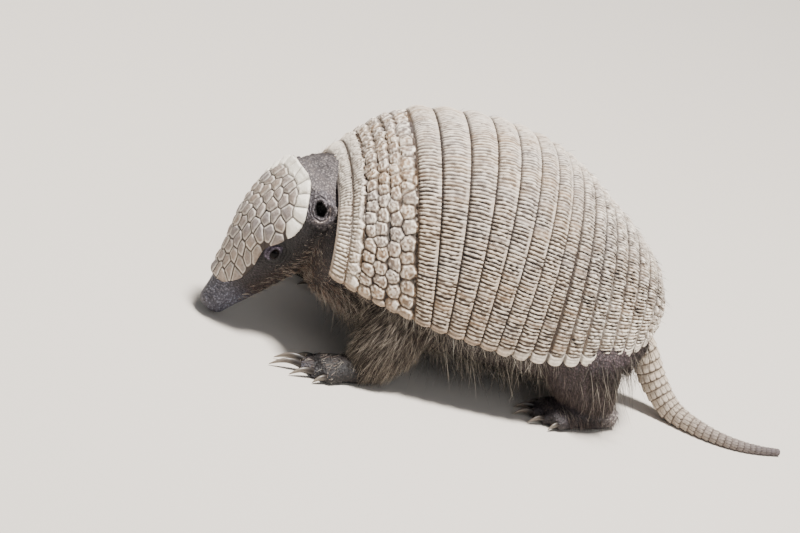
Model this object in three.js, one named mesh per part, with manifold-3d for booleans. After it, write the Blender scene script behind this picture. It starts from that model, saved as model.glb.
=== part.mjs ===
// A life-size pichi, the dwarf armadillo of the Patagonian steppe, standing with its nose to the ground.
// Millimetres, +Z up, the floor at z = 0. The animal faces -Y and its left side is +X.
// Rows are counted along the back: row 0 is the rear edge of the shoulder shield, rows 1 to 7 are the rear
// edges of the seven movable bands, and the hip shield ends at row 17. Each row is a hoop over the back.
import * as THREE from 'three';
import { mergeVertices } from 'three/addons/utils/BufferGeometryUtils.js';
import Module from 'manifold-3d';

const wasm = await Module();
wasm.setup();

// ---- driving dimensions -------------------------------------------------------------------------------

const FRAME_SHIFT = new THREE.Vector3(-1.8, -19.1, 0);   // brings the whole model's middle over the origin
const GAP = 0.3;                    // clear space between neighbouring solids
const ROW_FRONT = -6;               // front edge of the neck band
const ROW_REAR = 17;                // rear edge of the hip shield
const ROWS_PER_KNOT = 3;            // the hoop values below stand three rows apart, from row -6 to row 18
const HOOP_Y = [-73, -53, -33, -10, 13, 37, 58, 72, 79];            // where the hoop's foot line crosses
const HOOP_Z = [43, 38.5, 35, 32, 29.5, 30, 34, 40, 46];            // height of the shell's lower margin
const HOOP_LEAN = [4, 11, 14, 3, -2, 1, 3, -6, -28];                // degrees, top of the hoop to the front
const HOOP_RISE = [31, 54, 70, 77.5, 76.5, 67, 50, 28.5, 6];        // from the margin to the back's top
const HOOP_HALF_WIDTH = [49, 54, 56, 56.5, 55.5, 52.5, 46.5, 37, 25];
const HOOP_ROUNDNESS = 2.25;        // superellipse power of a hoop
const BELLY_DROP = [22, 25, 25, 23, 21, 22, 26, 28, 20];            // from the margin down to the belly
const CHEST_DOME = [[7, 0.45], [5.5, 0.72], [3, 0.92]];   // reach before the shell, share of its size
const RUMP_DOME = [3, 0.7];         // the same behind the shell
const TRUNK_RINGS = 12;
const BELLY_TUCK = 5;               // the belly starts this far inside the margin
const PLATE_THICK = 2.2;            // shell plates
const FLESH_CLEAR = 1.2;            // from the plates' inner side down to the flesh, facets allowed for
const LIP_RISE = 1.0;               // rear edge of a band over the front edge of the next
const LOBE_DEPTH = 2.0;             // rounded lower end of each row
const HOOP_STEPS = 13;              // facets round a hoop
const RING_STEPS = 14;              // facets round the trunk
const BAND_COUNT = 7;
const ROW_GAP = 0.02;               // half the gap between two plates, in rows of about 9 mm

const HEAD_BACK = new THREE.Vector3(9.5, -79, 66.8);   // middle of the back of the head
const HEAD_YAW = 10.5;               // degrees, the nose to the animal's left
const HEAD_PITCH = 61;              // degrees, the nose down
const HEAD_ROLL = 11;               // degrees, the left cheek down
const HEAD_LENGTH = 73;             // from the rim of the head shield to the nose
const SNOUT_END = 68.5;             // where the bare nose starts
const HEAD_STATION = [0, 10, 20, 30, 40, 50, 60, 70];
const HEAD_TOP = [16.5, 18, 18, 16.9, 13.7, 9.7, 6.5, 4.2];
const HEAD_BOTTOM = [14, 17, 19, 19.2, 18, 15.5, 12, 7.6];
const HEAD_HALF_WIDTH = [18.3, 20.4, 19.9, 17.3, 13.6, 10.3, 7.7, 5.8];
const HEAD_ROUNDNESS = 2.2;
const HEAD_CAP = [[-4, 0.55], [-2.5, 0.85]];           // station, and share of the first ring's size
const HEAD_STEPS = 16;              // facets round the head
const HEAD_RINGS = 9;
const NOSE_STEPS = 12;              // facets round the nose
const NOSE_TURN = 1.25;             // radians, how far the nose pad rounds over
const SHIELD_THICK = 1.8;
const SHIELD_CLEAR = 0.9;           // from the head's skin to the shield, facets allowed for
const SHIELD_REAR = -2;             // where the rim of the head shield overhangs the neck
const SHIELD_TIP = 60;              // how far forward the head shield reaches
const EYE_RADIUS = 3.3;
const EYE_PLACE = new THREE.Vector3(33.5, 13.9, 3.6);  // forward, sideways and up in the head's frame
const EAR_PLACE = new THREE.Vector3(9, 18.4, 8);
// From an ear's root towards its tip; the right ear is laid flatter against the neck.
const EAR_LIES = { left: new THREE.Vector3(-7, 3.5, -3), right: new THREE.Vector3(-8, 2.5, -5) };
const EAR_FACES = new THREE.Vector3(-1.5, 6, 5);       // the way the cup opens
const EAR_HEIGHT = 11;
const EAR_HALF_WIDTH = 5.2;
const EAR_THICK = 1.0;
const EAR_CUP = 0.55;               // depth of the cup, in half widths
const EAR_WRAP = 1.35;              // radians the cup wraps to either side

const SKIN_BROWN = 0x574b49;
const LEG_BROWN = 0x4a403f;
const SHELL_TAN = 0xb3a595;
const SHIELD_BEIGE = 0xc2b2a3;
const CLAW_HORN = 0x8d8377;
const TAIL_CREAM = 0xcdbfae;
const NOSE_SLATE = 0x4b4a52;
const EYE_BLACK = 0x120f10;

const group = new THREE.Group();
group.position.copy(FRAME_SHIFT);

// ---- tools --------------------------------------------------------------------------------------------

const radians = THREE.MathUtils.degToRad;

// Smooth value between evenly spaced knots: a Catmull-Rom curve through them, with straight ends.
function smooth(values, position) {
  const last = values.length - 1;
  const at = THREE.MathUtils.clamp(position, 0, last);
  const cell = Math.min(Math.floor(at), last - 1);
  const t = at - cell;
  const a = values[cell];
  const b = values[cell + 1];
  const before = cell > 0 ? values[cell - 1] : 2 * a - b;
  const after = cell + 2 <= last ? values[cell + 2] : 2 * b - a;
  const bend = (2 * before - 5 * a + 4 * b - after) * t * t + (3 * a - before - 3 * b + after) * t * t * t;
  return a + 0.5 * ((b - before) * t + bend);
}

function geometryFrom(points, triangles) {
  const geometry = new THREE.BufferGeometry();
  const positions = points.flatMap((p) => [p.x, p.y, p.z]);
  geometry.setAttribute('position', new THREE.Float32BufferAttribute(positions, 3));
  geometry.setIndex(triangles.flat());
  return geometry;
}

// Closed skin over a row of rings; each ring runs the same way round, and both ends are closed by a fan.
function loft(rings) {
  const count = rings[0].length;
  const points = rings.flat();
  const triangles = [];
  for (let i = 0; i + 1 < rings.length; i += 1) {
    for (let j = 0; j < count; j += 1) {
      const k = (j + 1) % count;
      const a = i * count;
      const b = a + count;
      triangles.push([a + j, a + k, b + k], [a + j, b + k, b + j]);
    }
  }
  [0, rings.length - 1].forEach((i, end) => {
    const middle = new THREE.Vector3();
    rings[i].forEach((p) => middle.addScaledVector(p, 1 / count));
    points.push(middle);
    for (let j = 0; j < count; j += 1) {
      const rim = [i * count + j, i * count + (j + 1) % count];
      triangles.push(end === 0 ? [points.length - 1, rim[1], rim[0]] : [points.length - 1, rim[0], rim[1]]);
    }
  });
  return facingOut(geometryFrom(points, triangles));
}

// Turns every face of a closed shape round when its volume comes out negative.
function facingOut(geometry) {
  const p = geometry.getAttribute('position');
  const index = geometry.getIndex();
  const corner = [new THREE.Vector3(), new THREE.Vector3(), new THREE.Vector3()];
  let volume = 0;
  for (let i = 0; i < index.count; i += 3) {
    corner.forEach((c, n) => c.fromBufferAttribute(p, index.getX(i + n)));
    volume += corner[0].dot(corner[1].clone().cross(corner[2]));
  }
  if (volume < 0) {
    for (let i = 0; i < index.count; i += 3) {
      const first = index.getX(i);
      index.setX(i, index.getX(i + 1));
      index.setX(i + 1, first);
    }
  }
  return geometry;
}

// Closed plate between an outer and an inner surface, both functions of (u, v) from 0 to 1.
function slab(uSteps, vSteps, outer, inner) {
  const points = [];
  [outer, inner].forEach((surface) => {
    for (let i = 0; i <= uSteps; i += 1) {
      for (let j = 0; j <= vSteps; j += 1) {
        points.push(surface(i / uSteps, j / vSteps));
      }
    }
  });
  const layer = (uSteps + 1) * (vSteps + 1);
  const at = (i, j) => i * (vSteps + 1) + j;
  const triangles = [];
  const quad = (a, b, c, d) => triangles.push([a, b, c], [a, c, d]);
  for (let i = 0; i < uSteps; i += 1) {
    for (let j = 0; j < vSteps; j += 1) {
      const [a, b, c, d] = [at(i, j), at(i + 1, j), at(i + 1, j + 1), at(i, j + 1)];
      quad(a, b, c, d);
      quad(d + layer, c + layer, b + layer, a + layer);
    }
    quad(at(i, 0), at(i, 0) + layer, at(i + 1, 0) + layer, at(i + 1, 0));
    quad(at(i + 1, vSteps), at(i + 1, vSteps) + layer, at(i, vSteps) + layer, at(i, vSteps));
  }
  for (let j = 0; j < vSteps; j += 1) {
    quad(at(0, j + 1), at(0, j + 1) + layer, at(0, j) + layer, at(0, j));
    quad(at(uSteps, j), at(uSteps, j) + layer, at(uSteps, j + 1) + layer, at(uSteps, j + 1));
  }
  return facingOut(geometryFrom(points, triangles));
}

function toSolid(geometry) {
  const bare = geometry.clone();
  bare.deleteAttribute('normal');
  bare.deleteAttribute('uv');
  const merged = mergeVertices(bare, 1e-4);
  const vertProperties = new Float32Array(merged.getAttribute('position').array);
  const triVerts = new Uint32Array(merged.getIndex().array);
  return new wasm.Manifold(new wasm.Mesh({ numProp: 3, vertProperties, triVerts }));
}

function toGeometry(solid) {
  const mesh = solid.getMesh();
  const geometry = new THREE.BufferGeometry();
  geometry.setAttribute('position', new THREE.Float32BufferAttribute(mesh.vertProperties, 3));
  geometry.setIndex(Array.from(mesh.triVerts));
  return geometry;
}

function addPart(name, geometry, color, roughness) {
  const material = new THREE.MeshStandardMaterial({ color, roughness, metalness: 0 });
  const mesh = new THREE.Mesh(geometry, material);
  mesh.name = name;
  group.add(mesh);
}

// Cuts the tools out of a shape and keeps the largest body that is left.
function cut(geometry, ...tools) {
  const remains = tools.reduce((solid, tool) => solid.subtract(toSolid(tool)), toSolid(geometry));
  const bodies = remains.decompose().sort((a, b) => b.volume() - a.volume());
  return toGeometry(bodies[0]);
}

const floorBlock = new THREE.BoxGeometry(600, 600, 100).translate(0, 0, -50);

// ---- the shell's own surface --------------------------------------------------------------------------

const signedPower = (value, power) => Math.sign(value) * Math.abs(value) ** power;

function hoopValues(row) {
  const knot = (row - ROW_FRONT) / ROWS_PER_KNOT;
  const lean = radians(smooth(HOOP_LEAN, knot));
  return {
    foot: new THREE.Vector3(0, smooth(HOOP_Y, knot), smooth(HOOP_Z, knot)),
    up: new THREE.Vector3(0, -Math.sin(lean), Math.cos(lean)),
    rise: smooth(HOOP_RISE, knot),
    halfWidth: smooth(HOOP_HALF_WIDTH, knot),
    bellyDrop: smooth(BELLY_DROP, knot),
  };
}

// Point on the back: angle -90 is the right margin, 0 the top and 90 the left margin.
function backPoint(row, angle) {
  const hoop = hoopValues(row);
  const power = 2 / HOOP_ROUNDNESS;
  const side = hoop.halfWidth * signedPower(Math.sin(radians(angle)), power);
  const height = hoop.rise * signedPower(Math.cos(radians(angle)), power);
  return hoop.foot.clone().addScaledVector(hoop.up, height).setX(side);
}

// The same point moved out along the surface's own normal.
function shellPoint(row, angle, lift) {
  const step = 0.05;
  const within = THREE.MathUtils.clamp(angle, -89, 89);
  const alongBack = backPoint(row + step, within).sub(backPoint(row - step, within));
  const roundBack = backPoint(row, within + step * 10).sub(backPoint(row, within - step * 10));
  const normal = roundBack.cross(alongBack).normalize().negate();
  if (normal.dot(new THREE.Vector3(Math.sin(radians(within)), 0, Math.cos(radians(within)))) < 0) {
    normal.negate();
  }
  return backPoint(row, angle).addScaledVector(normal, lift);
}

// A shell plate from one row to another. Each row ends below in a rounded lobe, and the last row's rear
// edge stands up over the plate behind it.
function shellPlate(rowStart, rowEnd, uSteps) {
  const rowAt = (u) => THREE.MathUtils.lerp(rowStart, rowEnd, u);
  const marginAngle = (row) => {
    const across = 2 * (row + ROW_GAP - Math.floor(row + ROW_GAP)) - 1;
    return 90 - (LOBE_DEPTH / hoopValues(row).rise) * THREE.MathUtils.RAD2DEG * across ** 4;
  };
  const angleAt = (u, v) => marginAngle(rowAt(u)) * (2 * v - 1);
  const lipAt = (u) => LIP_RISE * Math.max(0, 1 - (rowEnd - rowAt(u)));
  const outer = (u, v) => shellPoint(rowAt(u), angleAt(u, v), lipAt(u));
  const inner = (u, v) => shellPoint(rowAt(u), angleAt(u, v), -PLATE_THICK);
  return slab(uSteps, HOOP_STEPS, outer, inner);
}

addPart('neck_band_front', shellPlate(ROW_FRONT, -5 - ROW_GAP, 2), SHELL_TAN, 0.7);
addPart('neck_band_rear', shellPlate(-5 + ROW_GAP, -4 - ROW_GAP, 2), SHELL_TAN, 0.7);
addPart('shoulder_shield', shellPlate(-4 + ROW_GAP, -ROW_GAP, 8), SHELL_TAN, 0.7);
for (let band = 1; band <= BAND_COUNT; band += 1) {
  addPart(`band_${band}`, shellPlate(band - 1 + ROW_GAP, band - ROW_GAP, 2), SHELL_TAN, 0.7);
}
const hipRows = ROW_REAR - BAND_COUNT;
addPart('hip_shield', shellPlate(BAND_COUNT + ROW_GAP, ROW_REAR, 2 * hipRows), SHELL_TAN, 0.7);

// ---- trunk --------------------------------------------------------------------------------------------

// Ring round the trunk at a row: the hoop drawn in under the plates above, the belly below.
function trunkRing(row, inset, shrink) {
  const hoop = hoopValues(row);
  const ring = [];
  for (let j = 0; j < RING_STEPS; j += 1) {
    const angle = -90 + (360 * j) / RING_STEPS;
    if (angle < 90) {
      ring.push(shellPoint(row, angle, -inset));
    } else {
      const turn = radians(angle);
      const side = (hoop.halfWidth - inset - BELLY_TUCK) * Math.sin(turn);
      const drop = (hoop.bellyDrop - inset + PLATE_THICK) * Math.cos(turn);
      ring.push(hoop.foot.clone().addScaledVector(hoop.up, drop - 1).setX(side));
    }
  }
  const middle = hoop.foot.clone().addScaledVector(hoop.up, (hoop.rise - hoop.bellyDrop) / 2);
  return ring.map((p) => p.lerp(middle, 1 - shrink));
}

// The trunk: a domed chest in front, then rings under the whole shell.
function trunkSolid(grow) {
  const inset = PLATE_THICK + FLESH_CLEAR - grow;
  const rowFirst = ROW_FRONT + 0.2;
  const rowLast = ROW_REAR - 0.3;
  const rings = CHEST_DOME.map(([reach, shrink]) => (
    trunkRing(rowFirst, inset, shrink).map((p) => p.add(new THREE.Vector3(0, -reach - grow, 0)))
  ));
  for (let i = 0; i <= TRUNK_RINGS; i += 1) {
    rings.push(trunkRing(THREE.MathUtils.lerp(rowFirst, rowLast, i / TRUNK_RINGS), inset, 1));
  }
  const [reach, shrink] = RUMP_DOME;
  rings.push(trunkRing(rowLast, inset, shrink).map((p) => p.add(new THREE.Vector3(0, reach + grow, 0))));
  return loft(rings);
}

// Everything inside the shell, a little grown, used to keep legs, neck and tail clear of the plates.
function shellRoom() {
  const rings = [];
  for (let row = ROW_FRONT; row <= ROW_REAR + 1; row += 1) {
    const ring = [];
    for (let j = 0; j <= HOOP_STEPS; j += 1) {
      const angle = -90 + (180 * j) / HOOP_STEPS;
      ring.push(shellPoint(Math.min(row, ROW_REAR + 2 * ROW_GAP), angle, LIP_RISE + GAP));
    }
    const down = hoopValues(row).up.clone().multiplyScalar(-GAP - 0.2);
    ring.unshift(ring[0].clone().add(down));
    ring.push(ring[ring.length - 1].clone().add(down));
    rings.push(ring);
  }
  rings.unshift(rings[0].map((p) => p.clone().add(new THREE.Vector3(0, -2 * GAP, 0))));
  return loft(rings);
}

const shellSpace = shellRoom();
const trunkGrown = trunkSolid(GAP);

// ---- head ---------------------------------------------------------------------------------------------

// Head frame: x forward to the nose, y to the animal's left, z up out of the crown.
function headFrame() {
  const yaw = radians(HEAD_YAW);
  const pitch = radians(HEAD_PITCH);
  const forward = new THREE.Vector3(
    Math.cos(pitch) * Math.sin(yaw),
    -Math.cos(pitch) * Math.cos(yaw),
    -Math.sin(pitch),
  );
  const left = new THREE.Vector3(Math.cos(yaw), Math.sin(yaw), 0);
  const up = forward.clone().cross(left);
  const roll = radians(HEAD_ROLL);
  const leftRolled = left.clone().multiplyScalar(Math.cos(roll)).addScaledVector(up, -Math.sin(roll));
  const upRolled = up.clone().multiplyScalar(Math.cos(roll)).addScaledVector(left, Math.sin(roll));
  return new THREE.Matrix4().makeBasis(forward, leftRolled, upRolled).setPosition(HEAD_BACK);
}

const headMatrix = headFrame();
const inHead = (x, y, z) => new THREE.Vector3(x, y, z).applyMatrix4(headMatrix);

// Point on the head: angle 0 is the crown, 90 the left cheek, 180 the throat. Lift moves it outwards.
function headPoint(station, angle, lift) {
  const knot = station / 10;
  const turn = radians(angle);
  const power = 2 / HEAD_ROUNDNESS;
  const across = (smooth(HEAD_HALF_WIDTH, knot) + lift) * signedPower(Math.sin(turn), power);
  const reach = Math.cos(turn) > 0 ? smooth(HEAD_TOP, knot) : smooth(HEAD_BOTTOM, knot);
  return inHead(station, across, (reach + lift) * signedPower(Math.cos(turn), power));
}

function headSolid(grow) {
  const rings = [];
  const ringAt = (station, scale) => {
    const ring = [];
    for (let j = 0; j < HEAD_STEPS; j += 1) {
      ring.push(headPoint(Math.max(station, 0), (360 * j) / HEAD_STEPS, grow));
    }
    const middle = inHead(station, 0, 0);
    const shift = middle.clone().sub(inHead(Math.max(station, 0), 0, 0));
    return ring.map((p) => p.add(shift).lerp(middle, 1 - scale));
  };
  HEAD_CAP.forEach(([station, scale]) => rings.push(ringAt(station - grow, scale)));
  for (let i = 0; i <= HEAD_RINGS; i += 1) {
    rings.push(ringAt(THREE.MathUtils.lerp(0, SNOUT_END + grow, i / HEAD_RINGS), 1));
  }
  return loft(rings);
}

const headGrown = headSolid(GAP);
const eyePlace = (side) => inHead(EYE_PLACE.x, side * EYE_PLACE.y, EYE_PLACE.z);
const eyeBall = (side, radius) => {
  const place = eyePlace(side);
  return new THREE.SphereGeometry(radius, 8, 6).translate(place.x, place.y, place.z);
};
addPart('trunk', cut(trunkSolid(0), headGrown), SKIN_BROWN, 0.9);
const eyeSockets = [eyeBall(1, EYE_RADIUS + GAP), eyeBall(-1, EYE_RADIUS + GAP)];
addPart('head', cut(headSolid(0), ...eyeSockets), SKIN_BROWN, 0.85);
addPart('eye_left', toGeometry(toSolid(eyeBall(1, EYE_RADIUS))), EYE_BLACK, 0.1);
addPart('eye_right', toGeometry(toSolid(eyeBall(-1, EYE_RADIUS))), EYE_BLACK, 0.1);

// The bare nose pad: the snout's last section carried on and rounded off.
function nosePad() {
  const start = SNOUT_END + GAP;
  const rings = [];
  for (let i = 0; i <= 3; i += 1) {
    const turn = (i / 3) * NOSE_TURN;
    const station = start + (HEAD_LENGTH - start) * Math.sin(turn) / Math.sin(NOSE_TURN);
    const ring = [];
    for (let j = 0; j < NOSE_STEPS; j += 1) {
      ring.push(headPoint(start, (360 * j) / NOSE_STEPS, 0));
    }
    const middle = inHead(station, 0, 0);
    const shift = middle.clone().sub(inHead(start, 0, 0));
    rings.push(ring.map((p) => p.add(shift).lerp(middle, 1 - Math.cos(turn))));
  }
  return loft(rings);
}
addPart('nose', nosePad(), NOSE_SLATE, 0.5);

// The head shield: a curved plate, widest in front of the ears, notched over the eyes, round at the snout.
const SHIELD_EDGE_STATION = [-2, 0, 4, 8, 14, 20, 27, 34, 39, 45, 50, 55, 58.5, 60];
const SHIELD_EDGE_ANGLE = [18, 32, 43, 52, 63, 68, 67, 61, 66, 78, 81, 72, 50, 15];   // down from the crown
function shieldEdge(station) {
  const last = SHIELD_EDGE_STATION.length - 1;
  let cell = 0;
  while (cell < last - 1 && station > SHIELD_EDGE_STATION[cell + 1]) {
    cell += 1;
  }
  const width = SHIELD_EDGE_STATION[cell + 1] - SHIELD_EDGE_STATION[cell];
  return smooth(SHIELD_EDGE_ANGLE, cell + (station - SHIELD_EDGE_STATION[cell]) / width);
}
function shieldSurface(lift) {
  return (u, v) => {
    const station = THREE.MathUtils.lerp(SHIELD_REAR, SHIELD_TIP, u);
    return headPoint(station, shieldEdge(station) * (2 * v - 1), lift);
  };
}
const shieldPlate = slab(12, 8, shieldSurface(SHIELD_CLEAR + SHIELD_THICK), shieldSurface(SHIELD_CLEAR));
addPart('head_shield', cut(shieldPlate, headGrown), SHIELD_BEIGE, 0.65);

// Ears: small rounded cups that open outwards and lie back along the neck.
function ear(side) {
  const root = inHead(EAR_PLACE.x, side * EAR_PLACE.y, EAR_PLACE.z);
  const sided = (v) => new THREE.Vector3(v.x, side * v.y, v.z).transformDirection(headMatrix);
  const tip = sided(side > 0 ? EAR_LIES.left : EAR_LIES.right);
  const out = sided(EAR_FACES);
  out.addScaledVector(tip, -out.dot(tip)).normalize();
  const across = tip.clone().cross(out);
  const surface = (depth) => (u, v) => {
    const width = EAR_HALF_WIDTH * Math.sqrt(Math.max(0.04, 1 - (1.9 * u - 0.9) ** 2 * 0.96)) - depth;
    const turn = (2 * v - 1) * EAR_WRAP;
    const cup = Math.cos(turn) * EAR_HALF_WIDTH * EAR_CUP * (1 - 0.6 * u);
    return root.clone()
      .addScaledVector(tip, EAR_HEIGHT * u - depth * u)
      .addScaledVector(across, width * Math.sin(turn))
      .addScaledVector(out, depth - cup);
  };
  return slab(3, 4, surface(0), surface(EAR_THICK));
}

// ---- tubes along a path: neck, tail, legs, toes and claws -----------------------------------------------

// Rings round a smooth path; each station has its own half width and half height.
function pathRings(points, widths, heights, steps, sides, sideHint) {
  const path = new THREE.CatmullRomCurve3(points, false, 'centripetal');
  const rings = [];
  for (let i = 0; i <= steps; i += 1) {
    const t = i / steps;
    const knot = t * (points.length - 1);
    const middle = path.getPoint(t);
    const along = path.getTangent(t);
    const side = sideHint.clone().addScaledVector(along, -sideHint.dot(along)).normalize();
    const over = along.clone().cross(side);
    const ring = [];
    for (let j = 0; j < sides; j += 1) {
      const turn = (2 * Math.PI * (j + 0.5)) / sides;
      ring.push(middle.clone()
        .addScaledVector(side, smooth(widths, knot) * Math.cos(turn))
        .addScaledVector(over, smooth(heights, knot) * Math.sin(turn)));
    }
    rings.push(ring);
  }
  return rings;
}

// One loft parted at a ring, with the second piece starting a gap further on.
function partedLoft(rings, cutAt) {
  const step = new THREE.Vector3();
  rings[cutAt].forEach((p, j) => step.addScaledVector(p.clone().sub(rings[cutAt - 1][j]), 1));
  step.setLength(GAP);
  const restart = rings[cutAt].map((p) => p.clone().add(step));
  return [loft(rings.slice(0, cutAt + 1)), loft([restart, ...rings.slice(cutAt + 1)])];
}

const alongX = new THREE.Vector3(1, 0, 0);
const grown = (values, by) => values.map((value) => value + by);

// Neck: from inside the front of the shell to the back of the head.
const NECK_HALF_WIDTHS = [37, 29, 18.5];
const NECK_HALF_HEIGHTS = [25, 20.5, 15];
const neckPath = [new THREE.Vector3(0, -62, 53), new THREE.Vector3(3.5, -74, 57), inHead(9, 0, -1)];
const neck = (grow) => loft(
  pathRings(neckPath, grown(NECK_HALF_WIDTHS, grow), grown(NECK_HALF_HEIGHTS, grow), 3, 13, alongX),
);
addPart('neck', cut(neck(0), trunkGrown, headGrown, shellSpace), SKIN_BROWN, 0.9);
addPart('ear_left', cut(ear(1), headGrown, neck(GAP), shellSpace), SKIN_BROWN, 0.8);
addPart('ear_right', cut(ear(-1), headGrown, neck(GAP), shellSpace), SKIN_BROWN, 0.8);

// Tail: down from the rump, then along the floor, in two lengths.
const TAIL_PATH = [
  [0, 66, 42], [1, 82, 28.5], [4.5, 93.5, 13.5], [10.5, 103, 5.4], [17, 112, 3.7],
  [22, 122, 2.9], [24, 133, 2.3], [22.5, 144, 1.8], [19, 154, 1.5],
].map(([x, y, z]) => new THREE.Vector3(x, y, z));
const TAIL_RADIUS = [8, 6.8, 6, 5, 3.9, 3.1, 2.5, 2.0, 1.6];
const TAIL_CUT = 9;                // ring at which the tail is parted
const tailRings = pathRings(TAIL_PATH, TAIL_RADIUS, TAIL_RADIUS, 18, 8, alongX);
const [tailBase, tailEnd] = partedLoft(tailRings, TAIL_CUT);
addPart('tail_base', cut(tailBase, trunkGrown, shellSpace, floorBlock), TAIL_CREAM, 0.7);
addPart('tail_end', cut(tailEnd, floorBlock), TAIL_CREAM, 0.7);

// Legs: an upper and a lower length, a flat-soled foot with five toes, and five claws.
// Each joint is given for the left side as [out from the middle, along, up].
const LEGS = [
  {
    name: 'front_left', side: 1, kind: 'front',
    joints: [[30, -40, 48], [43, -36, 30], [48, -40, 19], [50, -47, 8]],
    heel: [50, -44], toe: [53.5, -64], spread: 8,
  },
  {
    name: 'front_right', side: -1, kind: 'front',
    joints: [[30, -36, 48], [42, -30, 30], [45, -32, 19], [47, -38, 8]],
    heel: [47, -35], toe: [50, -55], spread: 8,
  },
  {
    name: 'hind_left', side: 1, kind: 'hind',
    joints: [[27, 55, 46], [39, 50, 30], [39, 56, 18], [35, 65, 8]],
    heel: [34, 70], toe: [42, 42], spread: 9,
  },
  {
    name: 'hind_right', side: -1, kind: 'hind',
    joints: [[27, 59, 46], [39, 55, 30], [39, 62, 18], [35, 71, 8]],
    heel: [34, 76], toe: [41, 48], spread: 9,
  },
];
const LEG_RADIUS = {
  front: { across: [15, 12, 9.5, 6], along: [20, 16.5, 12, 6.5] },
  hind: { across: [16, 13, 10.5, 6.5], along: [25, 20.5, 14.5, 7.5] },
};
const LIMB_RINGS = 8;
const LIMB_CUT = 4;                 // ring at which a leg is parted at the elbow or knee
const FOOT_HEIGHT = { front: 10, hind: 11 };
const TOE_RADIUS = { front: 2.6, hind: 2.7 };
const TOE_LENGTH = { front: [6, 9, 10, 8, 5], hind: [5, 8, 9, 8, 5] };
const CLAW_LENGTH = { front: [7, 12, 13, 10, 6], hind: [5, 7.5, 8, 7, 4.5] };
const CLAW_RADIUS = { front: 1.55, hind: 1.35 };
const CLAW_ARCH = 0.14;             // rise of a claw's middle, as a share of its length
const CLAW_TIP_Z = 0.75;
const TOE_FAN = 11;                 // degrees between neighbouring toes
const TOE_STAGGER = 2;              // each toe starts this far behind the one nearer the middle

function toeFrames(leg) {
  const heel = new THREE.Vector3(leg.heel[0] * leg.side, leg.heel[1], 0);
  const toe = new THREE.Vector3(leg.toe[0] * leg.side, leg.toe[1], 0);
  const forward = toe.clone().sub(heel).normalize();
  const across = new THREE.Vector3(-forward.y, forward.x, 0);
  return [-2, -1, 0, 1, 2].map((n, i) => {
    const fan = radians(TOE_FAN * n);
    const direction = forward.clone().multiplyScalar(Math.cos(fan)).addScaledVector(across, Math.sin(fan));
    const root = toe.clone()
      .addScaledVector(across, (n * leg.spread) / 2.1)
      .addScaledVector(forward, -TOE_STAGGER * Math.abs(n));
    const order = leg.side > 0 ? i : 4 - i;
    return { root, direction, order };
  });
}

function footSolid(leg, grow) {
  const heel = new THREE.Vector3(leg.heel[0] * leg.side, leg.heel[1], 0);
  const toe = new THREE.Vector3(leg.toe[0] * leg.side, leg.toe[1], 0);
  const height = FOOT_HEIGHT[leg.kind] + grow;
  const pad = [[-0.12 - 0.05 * grow, 0.4], [0.2, 0.46], [1, 0.34], [1.12, 0.24]]
    .map(([reach, level]) => heel.clone().lerp(toe, reach).setZ(height * level));
  const widths = grown([3, 6.8, leg.spread + 1.6, leg.spread - 1], grow);
  const heights = [height * 0.38, height * 0.58, height * 0.46, height * 0.3];
  const sideways = new THREE.Vector3(toe.y - heel.y, heel.x - toe.x, 0).normalize();
  let solid = toSolid(loft(pathRings(pad, widths, heights, 4, 8, sideways)));
  toeFrames(leg).forEach((frame) => {
    const radius = TOE_RADIUS[leg.kind] + grow;
    const reach = TOE_LENGTH[leg.kind][frame.order];
    const points = [-4, reach * 0.5, reach].map((d, i) => frame.root.clone()
      .addScaledVector(frame.direction, d).setZ([radius, radius * 1.15, radius * 0.95][i]));
    const toeSideways = new THREE.Vector3(frame.direction.y, -frame.direction.x, 0);
    const toeWidths = [radius, radius, radius * 0.72];
    const toeHeights = [radius * 1.1, radius * 1.15, radius * 0.8];
    solid = solid.add(toSolid(loft(pathRings(points, toeWidths, toeHeights, 2, 4, toeSideways))));
  });
  return toGeometry(solid.subtract(toSolid(floorBlock)));
}

function clawGeometry(leg, frame) {
  const reach = TOE_LENGTH[leg.kind][frame.order] + 2 * GAP;
  const length = CLAW_LENGTH[leg.kind][frame.order];
  const radius = CLAW_RADIUS[leg.kind];
  const rise = TOE_RADIUS[leg.kind] * 0.95;
  const points = [0, 0.45, 1].map((t) => frame.root.clone()
    .addScaledVector(frame.direction, reach + length * t)
    .setZ(THREE.MathUtils.lerp(rise + 0.2, CLAW_TIP_Z, t) + Math.sin(Math.PI * t) * length * CLAW_ARCH));
  const sideways = new THREE.Vector3(frame.direction.y, -frame.direction.x, 0);
  const widths = [radius * 0.8, radius * 0.62, 0.3];
  const heights = [radius, radius * 0.8, 0.35];
  return loft(pathRings(points, widths, heights, 3, 4, sideways));
}

LEGS.forEach((leg) => {
  const joints = leg.joints.map(([x, y, z]) => new THREE.Vector3(x * leg.side, y, z));
  const { across, along } = LEG_RADIUS[leg.kind];
  const limb = (grow) => pathRings(joints, grown(across, grow), grown(along, grow), LIMB_RINGS, 11, alongX);
  const [upper, lower] = partedLoft(limb(0), LIMB_CUT);
  const [upperGrown] = partedLoft(limb(GAP), LIMB_CUT);
  const lowerTools = [upperGrown, trunkGrown, shellSpace, footSolid(leg, GAP), floorBlock];
  addPart(`leg_${leg.name}_upper`, cut(upper, trunkGrown, shellSpace), LEG_BROWN, 0.95);
  addPart(`leg_${leg.name}_lower`, cut(lower, ...lowerTools), LEG_BROWN, 0.95);
  addPart(`foot_${leg.name}`, footSolid(leg, 0), SKIN_BROWN, 0.9);
  toeFrames(leg).forEach((frame) => {
    addPart(`claw_${leg.name}_${frame.order + 1}`, clawGeometry(leg, frame), CLAW_HORN, 0.5);
  });
});

export default group;
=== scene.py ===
"""A life-size pichi, the dwarf armadillo: horn plates, skin, coat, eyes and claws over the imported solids."""

import math
import bmesh
import bpy
import numpy as np
from mathutils import Matrix


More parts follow.
